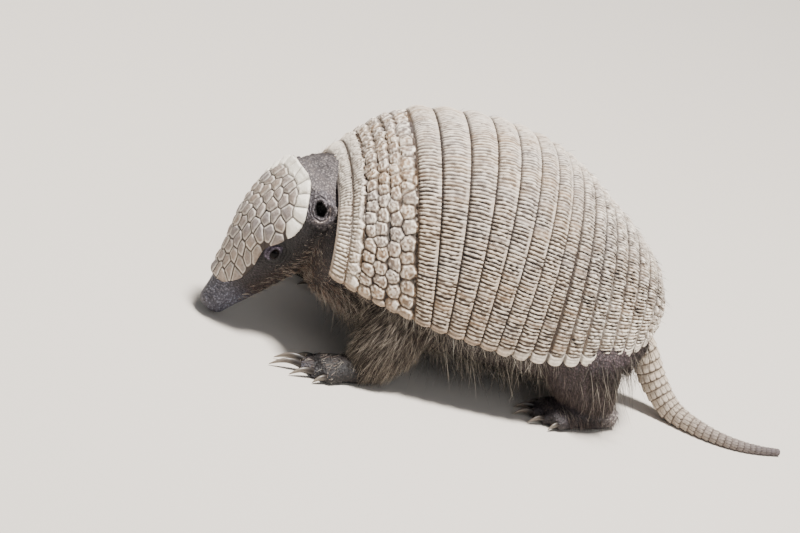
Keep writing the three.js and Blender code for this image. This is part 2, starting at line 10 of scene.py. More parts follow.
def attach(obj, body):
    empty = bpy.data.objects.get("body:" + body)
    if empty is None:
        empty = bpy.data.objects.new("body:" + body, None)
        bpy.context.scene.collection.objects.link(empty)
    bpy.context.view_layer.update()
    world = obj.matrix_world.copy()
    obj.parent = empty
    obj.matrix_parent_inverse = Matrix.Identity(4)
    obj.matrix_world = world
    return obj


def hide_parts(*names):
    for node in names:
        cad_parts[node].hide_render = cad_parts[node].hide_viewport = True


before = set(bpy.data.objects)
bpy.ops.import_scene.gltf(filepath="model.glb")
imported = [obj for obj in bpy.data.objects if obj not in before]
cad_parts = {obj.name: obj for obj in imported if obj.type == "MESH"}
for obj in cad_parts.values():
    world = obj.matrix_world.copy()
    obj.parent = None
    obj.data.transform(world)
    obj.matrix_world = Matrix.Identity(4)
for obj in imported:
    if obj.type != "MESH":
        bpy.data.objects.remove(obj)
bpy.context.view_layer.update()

# ---- the animal's own measures, in millimetres, as its solids are made -----------------------------------

SHIFT = np.array([-1.8, -19.1, 0.0])     # brings the middle of the model over the origin
ROW_FRONT, ROW_REAR = -6.0, 17.0        # rows of scutes; row 0 ends the shoulder shield, 7 the last band
# the shell's line at every third row: place along, height, lean in degrees, rise, half width, belly's depth
HOOP_Y = [-73, -53, -33, -10, 13, 37, 58, 72, 79]
HOOP_Z = [43, 38.5, 35, 32, 29.5, 30, 34, 40, 46]
HOOP_LEAN = [4, 11, 14, 3, -2, 1, 3, -6, -28]
HOOP_RISE = [31, 54, 70, 77.5, 76.5, 67, 50, 28.5, 6]
HOOP_HALF = [49, 54, 56, 56.5, 55.5, 52.5, 46.5, 37, 25]
BELLY_DROP = [22, 25, 25, 23, 21, 22, 26, 28, 20]
HOOP_ROUNDNESS = 2.25
BAND_COUNT = 7                          # movable bands, one row each
ROW_GAP = 0.02                          # gap between two plates, in rows
PLATE_THICK = 2.2
FLESH_CLEAR = 1.2                       # room between the shell and the flesh
LOBE_DEPTH = 2.0                        # how deep the margin is scalloped
COAT_DEPTH = 0.7
# the head's own frame is forward, left and up from HEAD_BACK; its radii are given at every 10 mm forward
HEAD_BACK = np.array([9.5, -79, 66.8])
HEAD_YAW, HEAD_PITCH, HEAD_ROLL = (math.radians(a) for a in (10.5, 61, 11))
HEAD_TOP = [16.5, 18, 18, 16.9, 13.7, 9.7, 6.5, 4.2]
HEAD_BOTTOM = [14, 17, 19, 19.2, 18, 15.5, 12, 7.6]
HEAD_HALF = [18.3, 20.4, 19.9, 17.3, 13.6, 10.3, 7.7, 5.8]
HEAD_ROUNDNESS = 2.2
NOSE_START, NOSE_TIP = 68.5, 73.0       # where the nose pad begins to round over, and its end
NOSTRIL = np.array([72.3, 2.4, -0.6])
SHIELD_STATION = [-2, 0, 4, 8, 14, 20, 27, 34, 39, 45, 50, 55, 58.5, 60]
SHIELD_ANGLE = [18, 32, 43, 52, 62, 65, 62, 55, 58, 66, 66, 55, 38, 12]
SHIELD_REAR, SHIELD_TIP = -2, 60        # where the head shield begins and ends
SHIELD_CLEAR, SHIELD_THICK = 0.9, 1.35  # room under the head shield, and its thickness without its domes
SHIELD_SWEEP = 0.28                     # how far the head's scutes sweep forward to the sides
EYE_PLACE = np.array([32.7, 14.1, 4.9])
EYE_RADIUS = 3.3
EYE_LOOKS = np.array([0.15, 0.86, 0.46])
LID_HALVES = 3.2, 2.35                  # half length and half height of the opening between the lids
EAR_PLACE = np.array([9.0, 18.4, 8.0])
EAR_LIES = {1: np.array([-7, 3.5, -3]), -1: np.array([-8, 2.5, -5])}
EAR_FACES = np.array([-1.5, 6, 5])
EAR_HOLE = np.array([4.8, 18.6, 8.0])
EAR_HALVES = 2.7, 3.5                   # half length and half width of an ear's oval opening
TAIL_PATH = [(0, 66, 42), (1, 82, 28.5), (4.5, 93.5, 13.5), (10.5, 103, 5.4), (17, 112, 3.7),
             (22, 122, 2.9), (24, 133, 2.3), (22.5, 144, 1.8), (19, 154, 1.5)]
TAIL_RADIUS = [8, 6.8, 6, 5, 3.9, 3.1, 2.5, 2.0, 1.6]
LEG_ACROSS = {"front": [15, 12, 9.5, 6], "hind": [16, 13, 10.5, 6.5]}
LEG_ALONG = {"front": [20, 16.5, 12, 6.5], "hind": [25, 20.5, 14.5, 7.5]}
# for each leg: side, joints from the body down, heel, root of the toes, half width over the toes
LEGS = {
    "front_left": (1, [[30, -40, 48], [43, -36, 30], [48, -40, 19], [50, -47, 8]], (50, -44), (53.5, -64), 8),
    "front_right": (-1, [[30, -36, 48], [42, -30, 30], [45, -32, 19], [47, -38, 8]], (47, -35), (50, -55), 8),
    "hind_left": (1, [[27, 55, 46], [39, 50, 30], [39, 56, 18], [35, 65, 8]], (34, 70), (42, 42), 9),
    "hind_right": (-1, [[27, 59, 46], [39, 55, 30], [39, 62, 18], [35, 71, 8]], (34, 76), (41, 48), 9),
}
FOOT_HEIGHT = {"front": 10, "hind": 11}
TOE_RADIUS = {"front": 2.6, "hind": 2.7}
TOE_LENGTH = {"front": [6, 9, 10, 8, 5], "hind": [5, 8, 9, 8, 5]}
CLAW_LENGTH = {"front": [7, 12, 13, 10, 6], "hind": [5, 7.5, 8, 7, 4.5]}
CLAW_RADIUS = {"front": 1.55, "hind": 1.35}
X, Y, Z = np.eye(3)
TRUNK_LINE = np.array([[0.0, -64, 52], [0.0, -20, 60], [0.0, 25, 58], [0.0, 66, 50]])


# ---- arithmetic --------------------------------------------------------------------------------------------

def smooth(values, at):
    """Catmull-Rom value between evenly spaced knots, with straight ends."""
    v = np.asarray(values, float)
    if v.ndim == 2:
        return np.stack([smooth(column, at) for column in v.T], -1)
    last = len(v) - 1
    at = np.clip(np.asarray(at, float), 0, last)
    cell = np.minimum(at.astype(int), last - 1)
    t = at - cell
    a, b = v[cell], v[cell + 1]
    before = np.where(cell > 0, v[np.maximum(cell - 1, 0)], 2 * a - b)
    after = np.where(cell + 2 <= last, v[np.minimum(cell + 2, last)], 2 * b - a)
    bend = (2 * before - 5 * a + 4 * b - after) * t**2 + (3 * a - before - 3 * b + after) * t**3
    return a + 0.5 * ((b - before) * t + bend)


def step(low, high, x):
    """Smooth step from 0 at low to 1 at high."""
    t = np.clip((x - low) / (high - low), 0, 1)
    return t * t * (3 - 2 * t)


def unit(v):
    """Vectors scaled to length one."""
    return v / np.maximum(np.linalg.norm(v, axis=-1, keepdims=True), 1e-9)


def run(points):
    """Distance along each line of points from its first."""
    steps = np.linalg.norm(np.diff(points, axis=-2), axis=-1)
    return np.concatenate([np.zeros(steps.shape[:-1] + (1,)), np.cumsum(steps, -1)], -1)


def pairs(first, second):
    """Every pair of two rows of numbers, as two flat arrays."""
    return (a.ravel() for a in np.meshgrid(first, second, indexing="ij"))


def chance(*keys):
    """A fixed random number from 0 to 1 for each set of whole-number keys, by mixing their bits."""
    mixed = np.int64(12345)
    for prime, key in zip((73856093, 19349663, 83492791, 2654435), keys):
        mixed = mixed ^ (np.asarray(np.floor(key), np.int64) * prime)
    mixed = ((mixed ^ (mixed >> 13)) * 1274126177) & 0x7FFFFFFF
    mixed = ((mixed ^ (mixed >> 15)) * 668265263) & 0x7FFFFFFF
    return (mixed >> 7 & 0xFFFF) / 65535.0


def noise(points, size, seed=0):
    """Soft noise from -1 to 1: random values at the corners of cells of one size, blended smoothly."""
    q = np.asarray(points, float) / size + 31.7 * seed
    cell = np.floor(q)
    f = q - cell
    f = f**3 * (f * (f * 6 - 15) + 10)
    total = 0.0
    for corner in np.ndindex(2, 2, 2):
        weight = np.prod(np.where(corner, f, 1 - f), axis=-1)
        total = total + weight * (2 * chance(*np.moveaxis(cell + corner, -1, 0)) - 1)
    return total


def flat_noise(u, v, size, seed=0):
    """The same noise on two measures."""
    u, v = np.broadcast_arrays(u, v)
    return noise(np.stack([u, v, np.full(u.shape, 0.37 * size)], -1), size, seed)


def sheet_noise(points, size, seed):
    """The same noise for points of a flat sheet."""
    return noise(np.concatenate([points, 0 * points[..., :1]], -1), size, seed)


# ---- meshes ------------------------------------------------------------------------------------------------

def piece(name, points, faces, values=None, colours=None, polygons=()):
    """A mesh object from points in millimetres, an array or list of arrays of faces, and odd polygons."""
    groups = [np.asarray(f, np.int64) for f in (faces if isinstance(faces, list) else [faces]) if len(f)]
    groups += [np.asarray([p], np.int64) for p in polygons]
    loops = np.concatenate([g.ravel() for g in groups])
    sizes = np.concatenate([np.full(len(g), g.shape[1]) for g in groups])
    points = (np.asarray(points, float) + SHIFT) * 0.001
    mesh = bpy.data.meshes.new(name)
    mesh.vertices.add(len(points))
    mesh.vertices.foreach_set("co", points.astype(np.float32).ravel())
    mesh.loops.add(len(loops))
    mesh.loops.foreach_set("vertex_index", loops.astype(np.int32))
    mesh.polygons.add(len(sizes))
    mesh.polygons.foreach_set("loop_start", (np.cumsum(sizes) - sizes).astype(np.int32))
    mesh.polygons.foreach_set("use_smooth", np.ones(len(sizes), bool))
    mesh.update(calc_edges=True)
    mark(mesh, values or {}, colours or {})
    made = bpy.data.objects.new(name, mesh)
    bpy.context.scene.collection.objects.link(made)
    return made


def mark(mesh, values, colours):
    """Stores a number or a colour for each point, for the finishes to read."""
    for key, array in values.items():
        layer = mesh.attributes.new(key, "FLOAT", "POINT")
        layer.data.foreach_set("value", np.asarray(array, np.float32).ravel())
    for key, array in colours.items():
        layer = mesh.attributes.new(key, "FLOAT_COLOR", "POINT")
        layer.data.foreach_set("color", np.asarray(array, np.float32).ravel())


def fit(made, slot, finish, *nodes):
    """Puts a piece on the body with its finish, and hides the nodes that it stands for; the slot is not used.
    """
    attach(made, "root")
    if nodes:
        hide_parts(*nodes)
    made.data.materials.append(finish)
    return made


def outward(points, faces):
    """Turns every face round when the volume that they close comes out negative."""
    groups = faces if isinstance(faces, list) else [faces]
    volume = 0.0
    for g in groups:
        a = points[g[:, 0]]
        for i in range(1, g.shape[1] - 1):
            volume += np.einsum("ij,ij->i", a, np.cross(points[g[:, i]], points[g[:, i + 1]])).sum()
    return [g[:, ::-1] if volume < 0 else g for g in groups]


def ring_faces(count, around):
    """Four-sided faces between rings that each close on themselves."""
    i, j = pairs(np.arange(count - 1), np.arange(around))
    k = (j + 1) % around
    return np.stack([i * around + j, i * around + k, (i + 1) * around + k, (i + 1) * around + j], -1)


def closed(rings):
    """Points and faces of a row of rings, each end closed by a fan to its middle."""
    count, around = rings.shape[:2]
    points = np.concatenate([rings.reshape(-1, 3), rings[[0, -1]].mean(1)])
    j = np.arange(around)
    k = (j + 1) % around
    tip = np.full(around, count * around)
    end = (count - 1) * around
    fans = np.concatenate([np.stack([tip, k, j], -1), np.stack([tip + 1, end + j, end + k], -1)])
    return points, outward(points, [ring_faces(count, around), fans])


def two_faced(outer, inner):
    """Points and faces of a plate from the grids of its two faces, with a strip all round its edge."""
    rows, columns = outer.shape[:2]
    layer = rows * columns
    points = np.concatenate([outer.reshape(-1, 3), inner.reshape(-1, 3)])
    i, j = pairs(np.arange(rows - 1), np.arange(columns - 1))
    a = i * columns + j
    top = np.stack([a, a + columns, a + columns + 1, a + 1], -1)
    edge = np.concatenate([np.arange(columns), np.arange(1, rows) * columns + columns - 1,
                           (rows - 1) * columns + np.arange(columns - 2, -1, -1),
                           np.arange(rows - 2, 0, -1) * columns])
    follow = np.roll(edge, -1)
    strip = np.stack([edge, follow, follow + layer, edge + layer], -1)
    return points, outward(points, [top, top[:, ::-1] + layer, strip])


def path(knots, steps):
    """Points, directions and places in its knots' own count of an even centripetal Catmull-Rom curve."""
    p = np.asarray(knots, float)
    p = np.vstack([2 * p[0] - p[1], p, 2 * p[-1] - p[-2]])
    d = np.linalg.norm(np.diff(p, axis=0), axis=1) ** 0.5
    at = np.linspace(0, len(knots) - 1, steps + 1)
    i = np.minimum(at.astype(int), len(knots) - 2)
    w = (at - i)[:, None]
    p0, p1, p2, p3 = p[i], p[i + 1], p[i + 2], p[i + 3]
    d0, d1, d2 = d[i][:, None], d[i + 1][:, None], d[i + 2][:, None]
    m1 = ((p1 - p0) / d0 - (p2 - p0) / (d0 + d1) + (p2 - p1) / d1) * d1
    m2 = ((p2 - p1) / d1 - (p3 - p1) / (d1 + d2) + (p3 - p2) / d2) * d1
    c2 = -3 * p1 + 3 * p2 - 2 * m1 - m2
    c3 = 2 * p1 - 2 * p2 + m1 + m2
    return p1 + w * (m1 + w * (c2 + w * c3)), unit(m1 + w * (2 * c2 + 3 * w * c3)), at


def tube(knots, widths, heights, steps, sides, hint=X):
    """Rings round a path: half width along the hint's side, half height across it."""
    middle, along, at = path(knots, steps)
    side = unit(hint - along * (along @ hint)[:, None])
    over = np.cross(along, side)
    turn = 2 * np.pi * (np.arange(sides) + 0.5) / sides
    wide = smooth(widths, at)[:, None, None] * np.cos(turn)[None, :, None]
    high = smooth(heights, at)[:, None, None] * np.sin(turn)[None, :, None]
    return middle[:, None] + side[:, None] * wide + over[:, None] * high


# ---- the shell's surface -----------------------------------------------------------------------------------

def hoop(row, values):
    """One of the hoop's measures at a row."""
    return smooth(values, (np.asarray(row, float) - ROW_FRONT) / 3)


def power(v, p):
    """A number raised to a power with its sign kept."""
    return np.sign(v) * np.abs(v) ** p


def back_point(row, angle):
    """Point on the back: a superellipse hoop, from -90 at the right margin over 0 to 90 at the left."""
    a, lean = np.radians(angle), np.radians(hoop(row, HOOP_LEAN))
    side = hoop(row, HOOP_HALF) * power(np.sin(a), 2 / HOOP_ROUNDNESS)
    high = hoop(row, HOOP_RISE) * power(np.cos(a), 2 / HOOP_ROUNDNESS)
    y = hoop(row, HOOP_Y) - high * np.sin(lean)
    z = hoop(row, HOOP_Z) + high * np.cos(lean)
    return np.stack(np.broadcast_arrays(side, y, z), -1)


def back_normal(row, angle):
    """The back's outward direction, from the slope along it and round it."""
    within = np.clip(angle, -89, 89)
    along = back_point(row + 0.05, within) - back_point(row - 0.05, within)
    n = unit(np.cross(back_point(row, within + 0.5) - back_point(row, within - 0.5), along))
    a = np.radians(within)
    facing = n[..., 0] * np.sin(a) + n[..., 2] * np.cos(a)
    return n * np.where(facing < 0, -1, 1)[..., None]


def arc(rows, angles):
    """Distance round the back from its top, in millimetres, for each row and angle of a table."""
    s = run(back_point(rows[:, None], angles[None]))
    return s - s[:, [len(angles) // 2]]


def cells(points, centres):
    """Nearest centre of each point, distance to it, and distance to the border with the next cell."""
    nearest, reach, border = [], [], []
    for part in np.array_split(points, max(1, len(points) // 20000)):
        far = ((part[:, None] - centres[None]) ** 2).sum(-1)
        order = np.argpartition(far, 4, axis=1)[:, :5]
        d = np.take_along_axis(far, order, 1)
        rank = np.argsort(d, axis=1)
        order, d = np.take_along_axis(order, rank, 1), np.take_along_axis(d, rank, 1)
        apart = np.linalg.norm(centres[order[:, 1:]] - centres[order[:, :1]], axis=-1)
        nearest.append(order[:, 0])
        reach.append(np.sqrt(d[:, 0]))
        border.append(((d[:, 1:] - d[:, :1]) / (2 * apart)).min(1))
    return np.concatenate(nearest), np.concatenate(reach), np.concatenate(border)


RIB_WIDTH = 1.72          # the bands' narrow lengthwise ribs, narrower to the rear
ROSETTE = 5.6             # width of a rosette of the shoulder
ROW_MM = 6.4              # length of a row, for the rosettes' shape
ROSETTE_REACH = 3.75      # how far a rosette reaches from its middle before it rounds off
MARGIN_ROWS = np.linspace(ROW_FRONT, ROW_REAR, 93)
MARGIN_REACH = arc(MARGIN_ROWS, np.linspace(-90, 90, 361))[:, -1]


def rosette_centres():
    """Staggered centres, one line to a row, shaken a little."""
    k, j = pairs(np.arange(-6, 18), np.arange(-24, 25))
    along = (k + 0.5 + 0.34 * (chance(k, j, 3) - 0.5)) * ROW_MM
    across = (j + 0.5 * (k % 2) + 0.42 * (chance(k, j, 4) - 0.5)) * ROSETTE
    return np.stack([along, across], -1)


ROSETTES = rosette_centres()


def ribs(row, fan, part):
    """Height, groove shade, paleness and tone of the bands' ribs: rounded ridges parted by grooves, each
    cracked across here and there, from the sunken front of a row to its narrow smooth rear lip. The grooves
    and cracks are darkened as painted shade, a little more down the flanks, and the crests are lightened as
    painted highlight; the rear lip's paleness is the horn's own."""
    k = np.floor(row)
    f = row - k
    flank = step(0.15, 0.65, part)
    width = RIB_WIDTH * np.interp(k, [0, 14], [1, 0.84])
    slow, quick = flat_noise(fan, 23.0 * k, 6.0, 1), flat_noise(fan, 7.0 * row, 2.6, 2)
    phase = (fan + 0.42 * slow + 0.20 * quick) / width
    phase = phase + 0.5 * (k % 2)
    rib = np.floor(phase)
    beside, this = np.round(phase) + 500, rib + 500     # numbers of the nearest groove and of the rib
    q = 2 * np.abs(phase - rib - 0.5)
    q = np.clip(q + 0.34 * flat_noise(fan, row * ROW_MM, 1.0, 18), 0, 1)
    strength = 0.72 + 0.28 * chance(beside, k, 5)
    strength = strength * np.where(chance(beside, k, 6) < 0.08, 0.5, 1.0)
    begin = 0.10 + 0.05 * chance(this, k, 7)
    end = 0.92 + 0.07 * chance(this, k, 8)
    ladder = step(begin, begin + 0.06, f) * (1 - step(end, end + 0.05, f)) * strength
    crack_at = 0.30 + 0.40 * chance(this, k, 13)
    cracked = chance(this, k, 14) < 0.18 + 0.6 * step(7, 12, row)
    crack = np.exp(-((f - crack_at) / 0.035) ** 2) * np.where(cracked, 1, 0)
    height = -(0.75 + 0.20 * flank) * step(0.15, 0.85, q) * ladder - 0.25 * crack
    height = height + 0.12 * (chance(this, k, 15) - 0.5) * ladder
    # painted shade in the grooves and cracks, a little darker down the flanks; below, painted highlight along
    # the crests and the rear lip's own paleness
    groove_shade = np.maximum(step(0.28, 0.70, q) * ladder * (0.84 + 0.16 * flank), 0.6 * crack)
    pale = 0.40 * step(end - 0.02, end + 0.05, f) + 0.85 * (1 - q) * ladder
    return height, groove_shade, pale, 2 * chance(this, k, 10) - 1


def rosettes(row, across, part):
    """Height, groove shade, paleness and tone of the rosettes: rounded cells, higher to the rear, with a
    crevice round each, a rim, a faint ring round the middle and a cobbled grain. The crevices, the ring and
    the grain's hollows are darkened as painted shade, darker down the flanks, and the rims and the grain's
    tops are lightened as painted highlight."""
    flat = np.stack([row * ROW_MM, across], -1).reshape(-1, 2)
    flat = flat + 0.45 * np.stack([sheet_noise(flat, 2.6, 3), sheet_noise(flat, 2.6, 4)], -1)
    near, reach, border = (a.reshape(row.shape) for a in cells(flat, ROSETTES))
    border = np.minimum(border, ROSETTE_REACH - reach)
    tilt = (row * ROW_MM - ROSETTES[near, 0]) / ROSETTE_REACH
    ring = np.exp(-((border - 1.45) / 0.30) ** 2) * (0.3 + 0.7 * chance(near, 16))
    grain = sheet_noise(flat, 0.9, 17).reshape(row.shape)
    height = 1.00 * step(-0.30, 1.30, border) - 0.10 * ring + 0.30 * tilt - 0.70
    height = height + 0.30 * (chance(near, 12) - 0.5) + 0.26 * grain
    flank = step(0.15, 0.65, part)
    # painted shade in the crevices, the ring and the grain's hollows; painted highlight on the rims and the
    # grain's tops
    groove_shade = np.maximum(1 - step(0.08, 0.60, border), 0.35 * ring) * (0.62 + 0.38 * flank)
    groove_shade = np.maximum(groove_shade, 0.45 * step(0.15, 0.6, -grain))
    rim_highlight = 0.45 * np.exp(-((border - 0.95) / 0.30) ** 2) * (1 + 0.8 * tilt)
    pale = 0.06 + rim_highlight + 0.55 * step(0.0, 0.6, grain)
    return height, groove_shade, pale, 2 * chance(near, 11) - 1


def relief(row, s, margin, whole):
    """Height, groove shade, paleness and tone of the shell at a row and distance from the top, with the
    margin's distance there as it is scalloped and as it would be whole; the paleness is partly painted
    highlight.

    Bands have ribs, the shoulder has rosettes, and the rump breaks up into small rosettes behind. Each row
    is a low dome that rounds over at its rear lip and ends at the margin in one smooth pale scute.
    """
    k = np.floor(np.clip(row, ROW_FRONT, ROW_REAR - 0.001))
    f = row - k
    part = np.abs(s) / margin
    a = ribs(k + np.clip(f, 0, 0.999), s / whole * np.interp(k + 0.5, MARGIN_ROWS, MARGIN_REACH), part)
    around = np.interp(row.clip(-3, 17), [-3, 8, 17], [MARGIN_REACH[12], 95, 60])
    b = rosettes(row, s / whole * around, part)
    shoulder = step(-4.55, -4.35, row - 0.9 * (0.62 - part)) * (row < 0.01)
    w = np.clip(shoulder + 0.9 * step(14.5, 16.0, row + 2.0 * flat_noise(s, row * ROW_MM, 9.0, 8)), 0, 1)
    height, groove_shade, pale, tone = ((1 - w) * x + w * y for x, y in zip(a, b))
    # from the rear bands back, a grain: its hollows darkened as painted shade and its tops lightened as
    # painted highlight
    grain = flat_noise(s, row * ROW_MM, 1.3, 19) * step(5, 11, row)
    height, groove_shade = height + 0.22 * grain, groove_shade + 0.5 * step(0.1, 0.6, -grain)
    pale = pale + 0.5 * step(0.1, 0.6, grain)
    neck = 1 - step(-4.1, -3.9, row)
    groove_shade, pale, tone = groove_shade * (1 - 0.5 * neck), pale + 0.25 * neck, tone + 1.8 * (part - 0.30)

    stand = np.interp(row, [-6, -4.01, -4, -0.01, 0, 7, 17], [0.9, 0.9, 0.35, 0.35, 2.3, 1.9, 0.8])
    stand = stand * (1 - 0.25 * step(0.3, 0.8, part))
    dome = 0.05 + 0.95 * np.sin(np.pi / 2 * np.minimum(f / 0.66, 1)) - 0.62 * step(0.72, 1.12, f)
    front = 1 - step(0.11, 0.22, f)
    height = height + stand * (dome - 0.35 * front - 0.30 * (1 - step(0.0, 0.5, f)))
    # painted shadow across the sunken front of each row, under the rear lip of the row before, fainter on the
    # neck bands and the shoulder
    lines = np.interp(row, [-4.01, -4, -0.8, -0.79, 0.9, 1], [0.55, 0.25, 0.25, 0.6, 0.6, 1.0])
    groove_shade = np.maximum(groove_shade, (1 - step(0.15, 0.28, f)) * lines)

    above = margin - np.abs(s)
    back = step(4, 8, row)
    bow = 2 * f**1.3 - 1
    last = above + 0.9 * bow**2
    lobe = 1 - step(2.2 + 2.0 * back, 3.0 + 2.0 * back, last)
    edge = np.exp(-((last - 2.9 - 2.0 * back) / 0.30) ** 2) * (0.25 + 0.75 * back)
    side = step(0.80, 0.97, np.abs(bow)) * back
    kept = 1 - lobe * (0.45 + 0.30 * back)
    height = kept * height + (1 - kept) * (stand * dome * 0.7 + 0.30 - 0.35 * side)
    height = height - 0.35 * edge
    # painted shade along the lobes' outlines and in the notches between them
    groove_shade = np.maximum(kept * groove_shade + (1 - kept) * np.maximum(0.9 * side, groove_shade * front), 0.9 * edge)
    pale = (1 - lobe) * pale + lobe * (0.20 + 0.65 * back)
    tone = tone + 1.5 * lobe * (1 - back)
    low = step(7, 12, row) * step(0.45, 0.9, part)
    return height, groove_shade * (1 - 0.35 * low), pale + 0.20 * low, tone


def shell_plate(node_name, first, last, rows, columns, lip):
    """A closed plate: one closed profile, from the front edge over the outside, round the rear lip and back
    under, carried round the back from margin to margin and rounded off at both margins."""
    angles = np.linspace(-90, 90, 361)
    outer = np.linspace(first, last + lip, rows)
    # row and height of the profile's points behind the lip and under the plate
    under = np.array([[last + lip + 0.015, -1], [last + lip + 0.012, -2], [last + lip, 0.62],
                      [last - 0.02, 0.40], [last - 0.10, -1.9], [(first + last) / 2, -2.0],
                      [first + 0.02, -2.0], [first - 0.01, -0.9]])
    row = np.concatenate([outer, under[:, 0]])[:, None]
    table = arc(row[:, 0], angles)
    f = np.clip(row[:, 0] - np.floor(np.clip(row[:, 0], ROW_FRONT, last - 0.001)), 0, 1)
    deep = LOBE_DEPTH * np.interp(row[:, 0], [2, 5, 8, 11], [0.35, 0.6, 1.2, 1.5])
    margin = (table[:, -1] - deep * np.abs(2 * f**1.3 - 1) ** 3.0)[:, None]
    s = np.linspace(-1, 1, columns)[None] * margin
    angle = np.stack([np.interp(s[i], table[i], angles) for i in range(len(s))])
    grid_row = np.broadcast_to(row, s.shape).copy()
    lift, groove_shade, pale, tone = relief(np.clip(grid_row, first, last - 1e-4), s, margin, table[:, -1:])
    lift = lift - 1.1 * (1 - np.sqrt(1 - np.clip((np.abs(s) - (margin - 1.1)) / 1.1, 0, 1) ** 2 * 0.98))
    rear = lift[rows - 1]
    lift[rows - 1] = rear - 0.10
    lift[rows] = rear * 0.80 + 0.10
    lift[rows + 1] = rear * 0.45 + 0.32
    lift[rows + 2:] = np.minimum(under[2:, 1:], lift[rows + 2:])
    points = (back_point(grid_row, angle) + back_normal(grid_row, angle) * lift[..., None]).reshape(-1, 3)
    loop = len(row)
    i, j = pairs(np.arange(loop), np.arange(columns - 1))
    n = (i + 1) % loop
    quads = np.stack([i * columns + j, n * columns + j, n * columns + j + 1, i * columns + j + 1], -1)
    ends = np.arange(loop) * columns
    turned = outward(points, [quads])[0]
    caps = [ends[::-1], ends + columns - 1]
    if turned[0, 0] != quads[0, 0]:
        caps = [c[::-1] for c in caps]
    inside = np.zeros_like(lift)
    inside[rows:] = 1
    # painted shade on the plate's under faces, which get no paleness
    values = {"groove_shade": np.maximum(groove_shade, 0.6 * inside), "pale": pale * (1 - inside), "tone": tone}
    return fit(piece("horn_" + node_name, points, turned, values, polygons=caps), "shell", SHELL, node_name)


# ---- finishes ----------------------------------------------------------------------------------------------

def linear(code):
    """Linear colour of an sRGB hex value."""
    parts = [int(code[i:i + 2], 16) / 255 for i in (1, 3, 5)]
    return tuple(c / 12.92 if c <= 0.04045 else ((c + 0.055) / 1.055) ** 2.4 for c in parts) + (1.0,)


def finish(name):
    """A new material and its empty node tree."""
    made = bpy.data.materials.new(name)
    made.use_nodes = True
    made.node_tree.nodes.clear()
    return made, made.node_tree


def node(tree, kind, inputs=None, out=0, ramp=(), **settings):
    """Adds one node with its settings, links or fills its inputs, and gives back one of its outputs."""
    made = tree.nodes.new("ShaderNode" + kind)
    for key, value in settings.items():
        setattr(made, key, value)
    for key, value in (inputs or {}).items():
        if isinstance(value, bpy.types.NodeSocket):
            tree.links.new(value, made.inputs[key])
        else:
            made.inputs[key].default_value = value
    for i, (at, colour) in enumerate(ramp):
        stop = made.color_ramp.elements[i] if i < 2 else made.color_ramp.elements.new(at)
        stop.position, stop.color = at, colour
    return made.outputs[out] if len(made.outputs) else made


def scutes(name, tan, grey, cream, dark, tip=None):
    """Bony scutes under thin dry horn: matt, tan and grey by turns, cream on their own pale lips and rims and
    as painted highlight, dark as painted shade in the grooves.
    """
    made, tree = finish(name)
    place = node(tree, "TexCoord", out="Object")
    broad = node(tree, "TexNoise", {"Vector": place, "Scale": 60.0, "Detail": 3.0, "Roughness": 0.6}, "Fac")
    fine = node(tree, "TexNoise", {"Vector": place, "Scale": 900.0, "Detail": 5.0, "Roughness": 0.7}, "Fac")
    grain = node(tree, "TexNoise", {"Vector": place, "Scale": 2600.0, "Detail": 3.0, "Roughness": 0.7}, "Fac")
    tone = node(tree, "Attribute", out="Fac", attribute_name="tone")
    shift = node(tree, "Math", {0: tone, 1: 0.16, 2: -0.3}, operation="MULTIPLY_ADD")
    blend = node(tree, "Math", {0: broad, 1: 1.6, 2: shift}, operation="MULTIPLY_ADD")
    base = node(tree, "ValToRGB", {"Fac": blend}, ramp=[(0.25, linear(grey)), (0.75, linear(tan))])
    if tip:
        along = node(tree, "Attribute", out="Fac", attribute_name="along")
        late = node(tree, "ValToRGB", {"Fac": along}, ramp=[(0.25, (0, 0, 0, 1)), (0.9, (1, 1, 1, 1))])
        base = node(tree, "Mix", {0: late, 6: base, 7: linear(tip)}, 2, data_type="RGBA")
    speck = node(tree, "ValToRGB", {"Fac": fine}, ramp=[(0.40, (0.50, 0.48, 0.46, 1)), (0.58, (1, 1, 1, 1))])
    base = node(tree, "Mix", {0: 0.60, 6: base, 7: speck}, 2, data_type="RGBA", blend_type="MULTIPLY")
    # cream where the pale attribute says: the scutes' own pale lips, margins and rims, and painted highlight
    # on crests, rims and grain
    pale = node(tree, "Attribute", out="Fac", attribute_name="pale")
    share = node(tree, "Math", {0: fine, 1: 0.45}, operation="ADD")
    pale_and_highlight = node(tree, "Math", {0: pale, 1: share}, operation="MULTIPLY", use_clamp=True)
    base = node(tree, "Mix", {0: pale_and_highlight, 6: base, 7: linear(cream)}, 2, data_type="RGBA")
    # painted shade: the groove attribute darkens grooves, cracks and under faces towards the dark colour
    groove_shade = node(tree, "Attribute", out="Fac", attribute_name="groove_shade")
    ditch = node(tree, "Math", {0: groove_shade, 1: 0.92}, operation="MULTIPLY", use_clamp=True)
    base = node(tree, "Mix", {0: ditch, 6: base, 7: linear(dark)}, 2, data_type="RGBA")
    rough = node(tree, "Math", {0: fine, 1: 0.2, 2: 0.62}, operation="MULTIPLY_ADD")
    height = node(tree, "Math", {0: grain, 1: 0.5, 2: fine}, operation="MULTIPLY_ADD")
    bump = node(tree, "Bump", {"Height": height, "Distance": 0.00032, "Strength": 1.0})
    shader = node(tree, "BsdfPrincipled", {"Base Color": base, "Roughness": rough, "Normal": bump})
    node(tree, "OutputMaterial", {"Surface": shader})
    return made


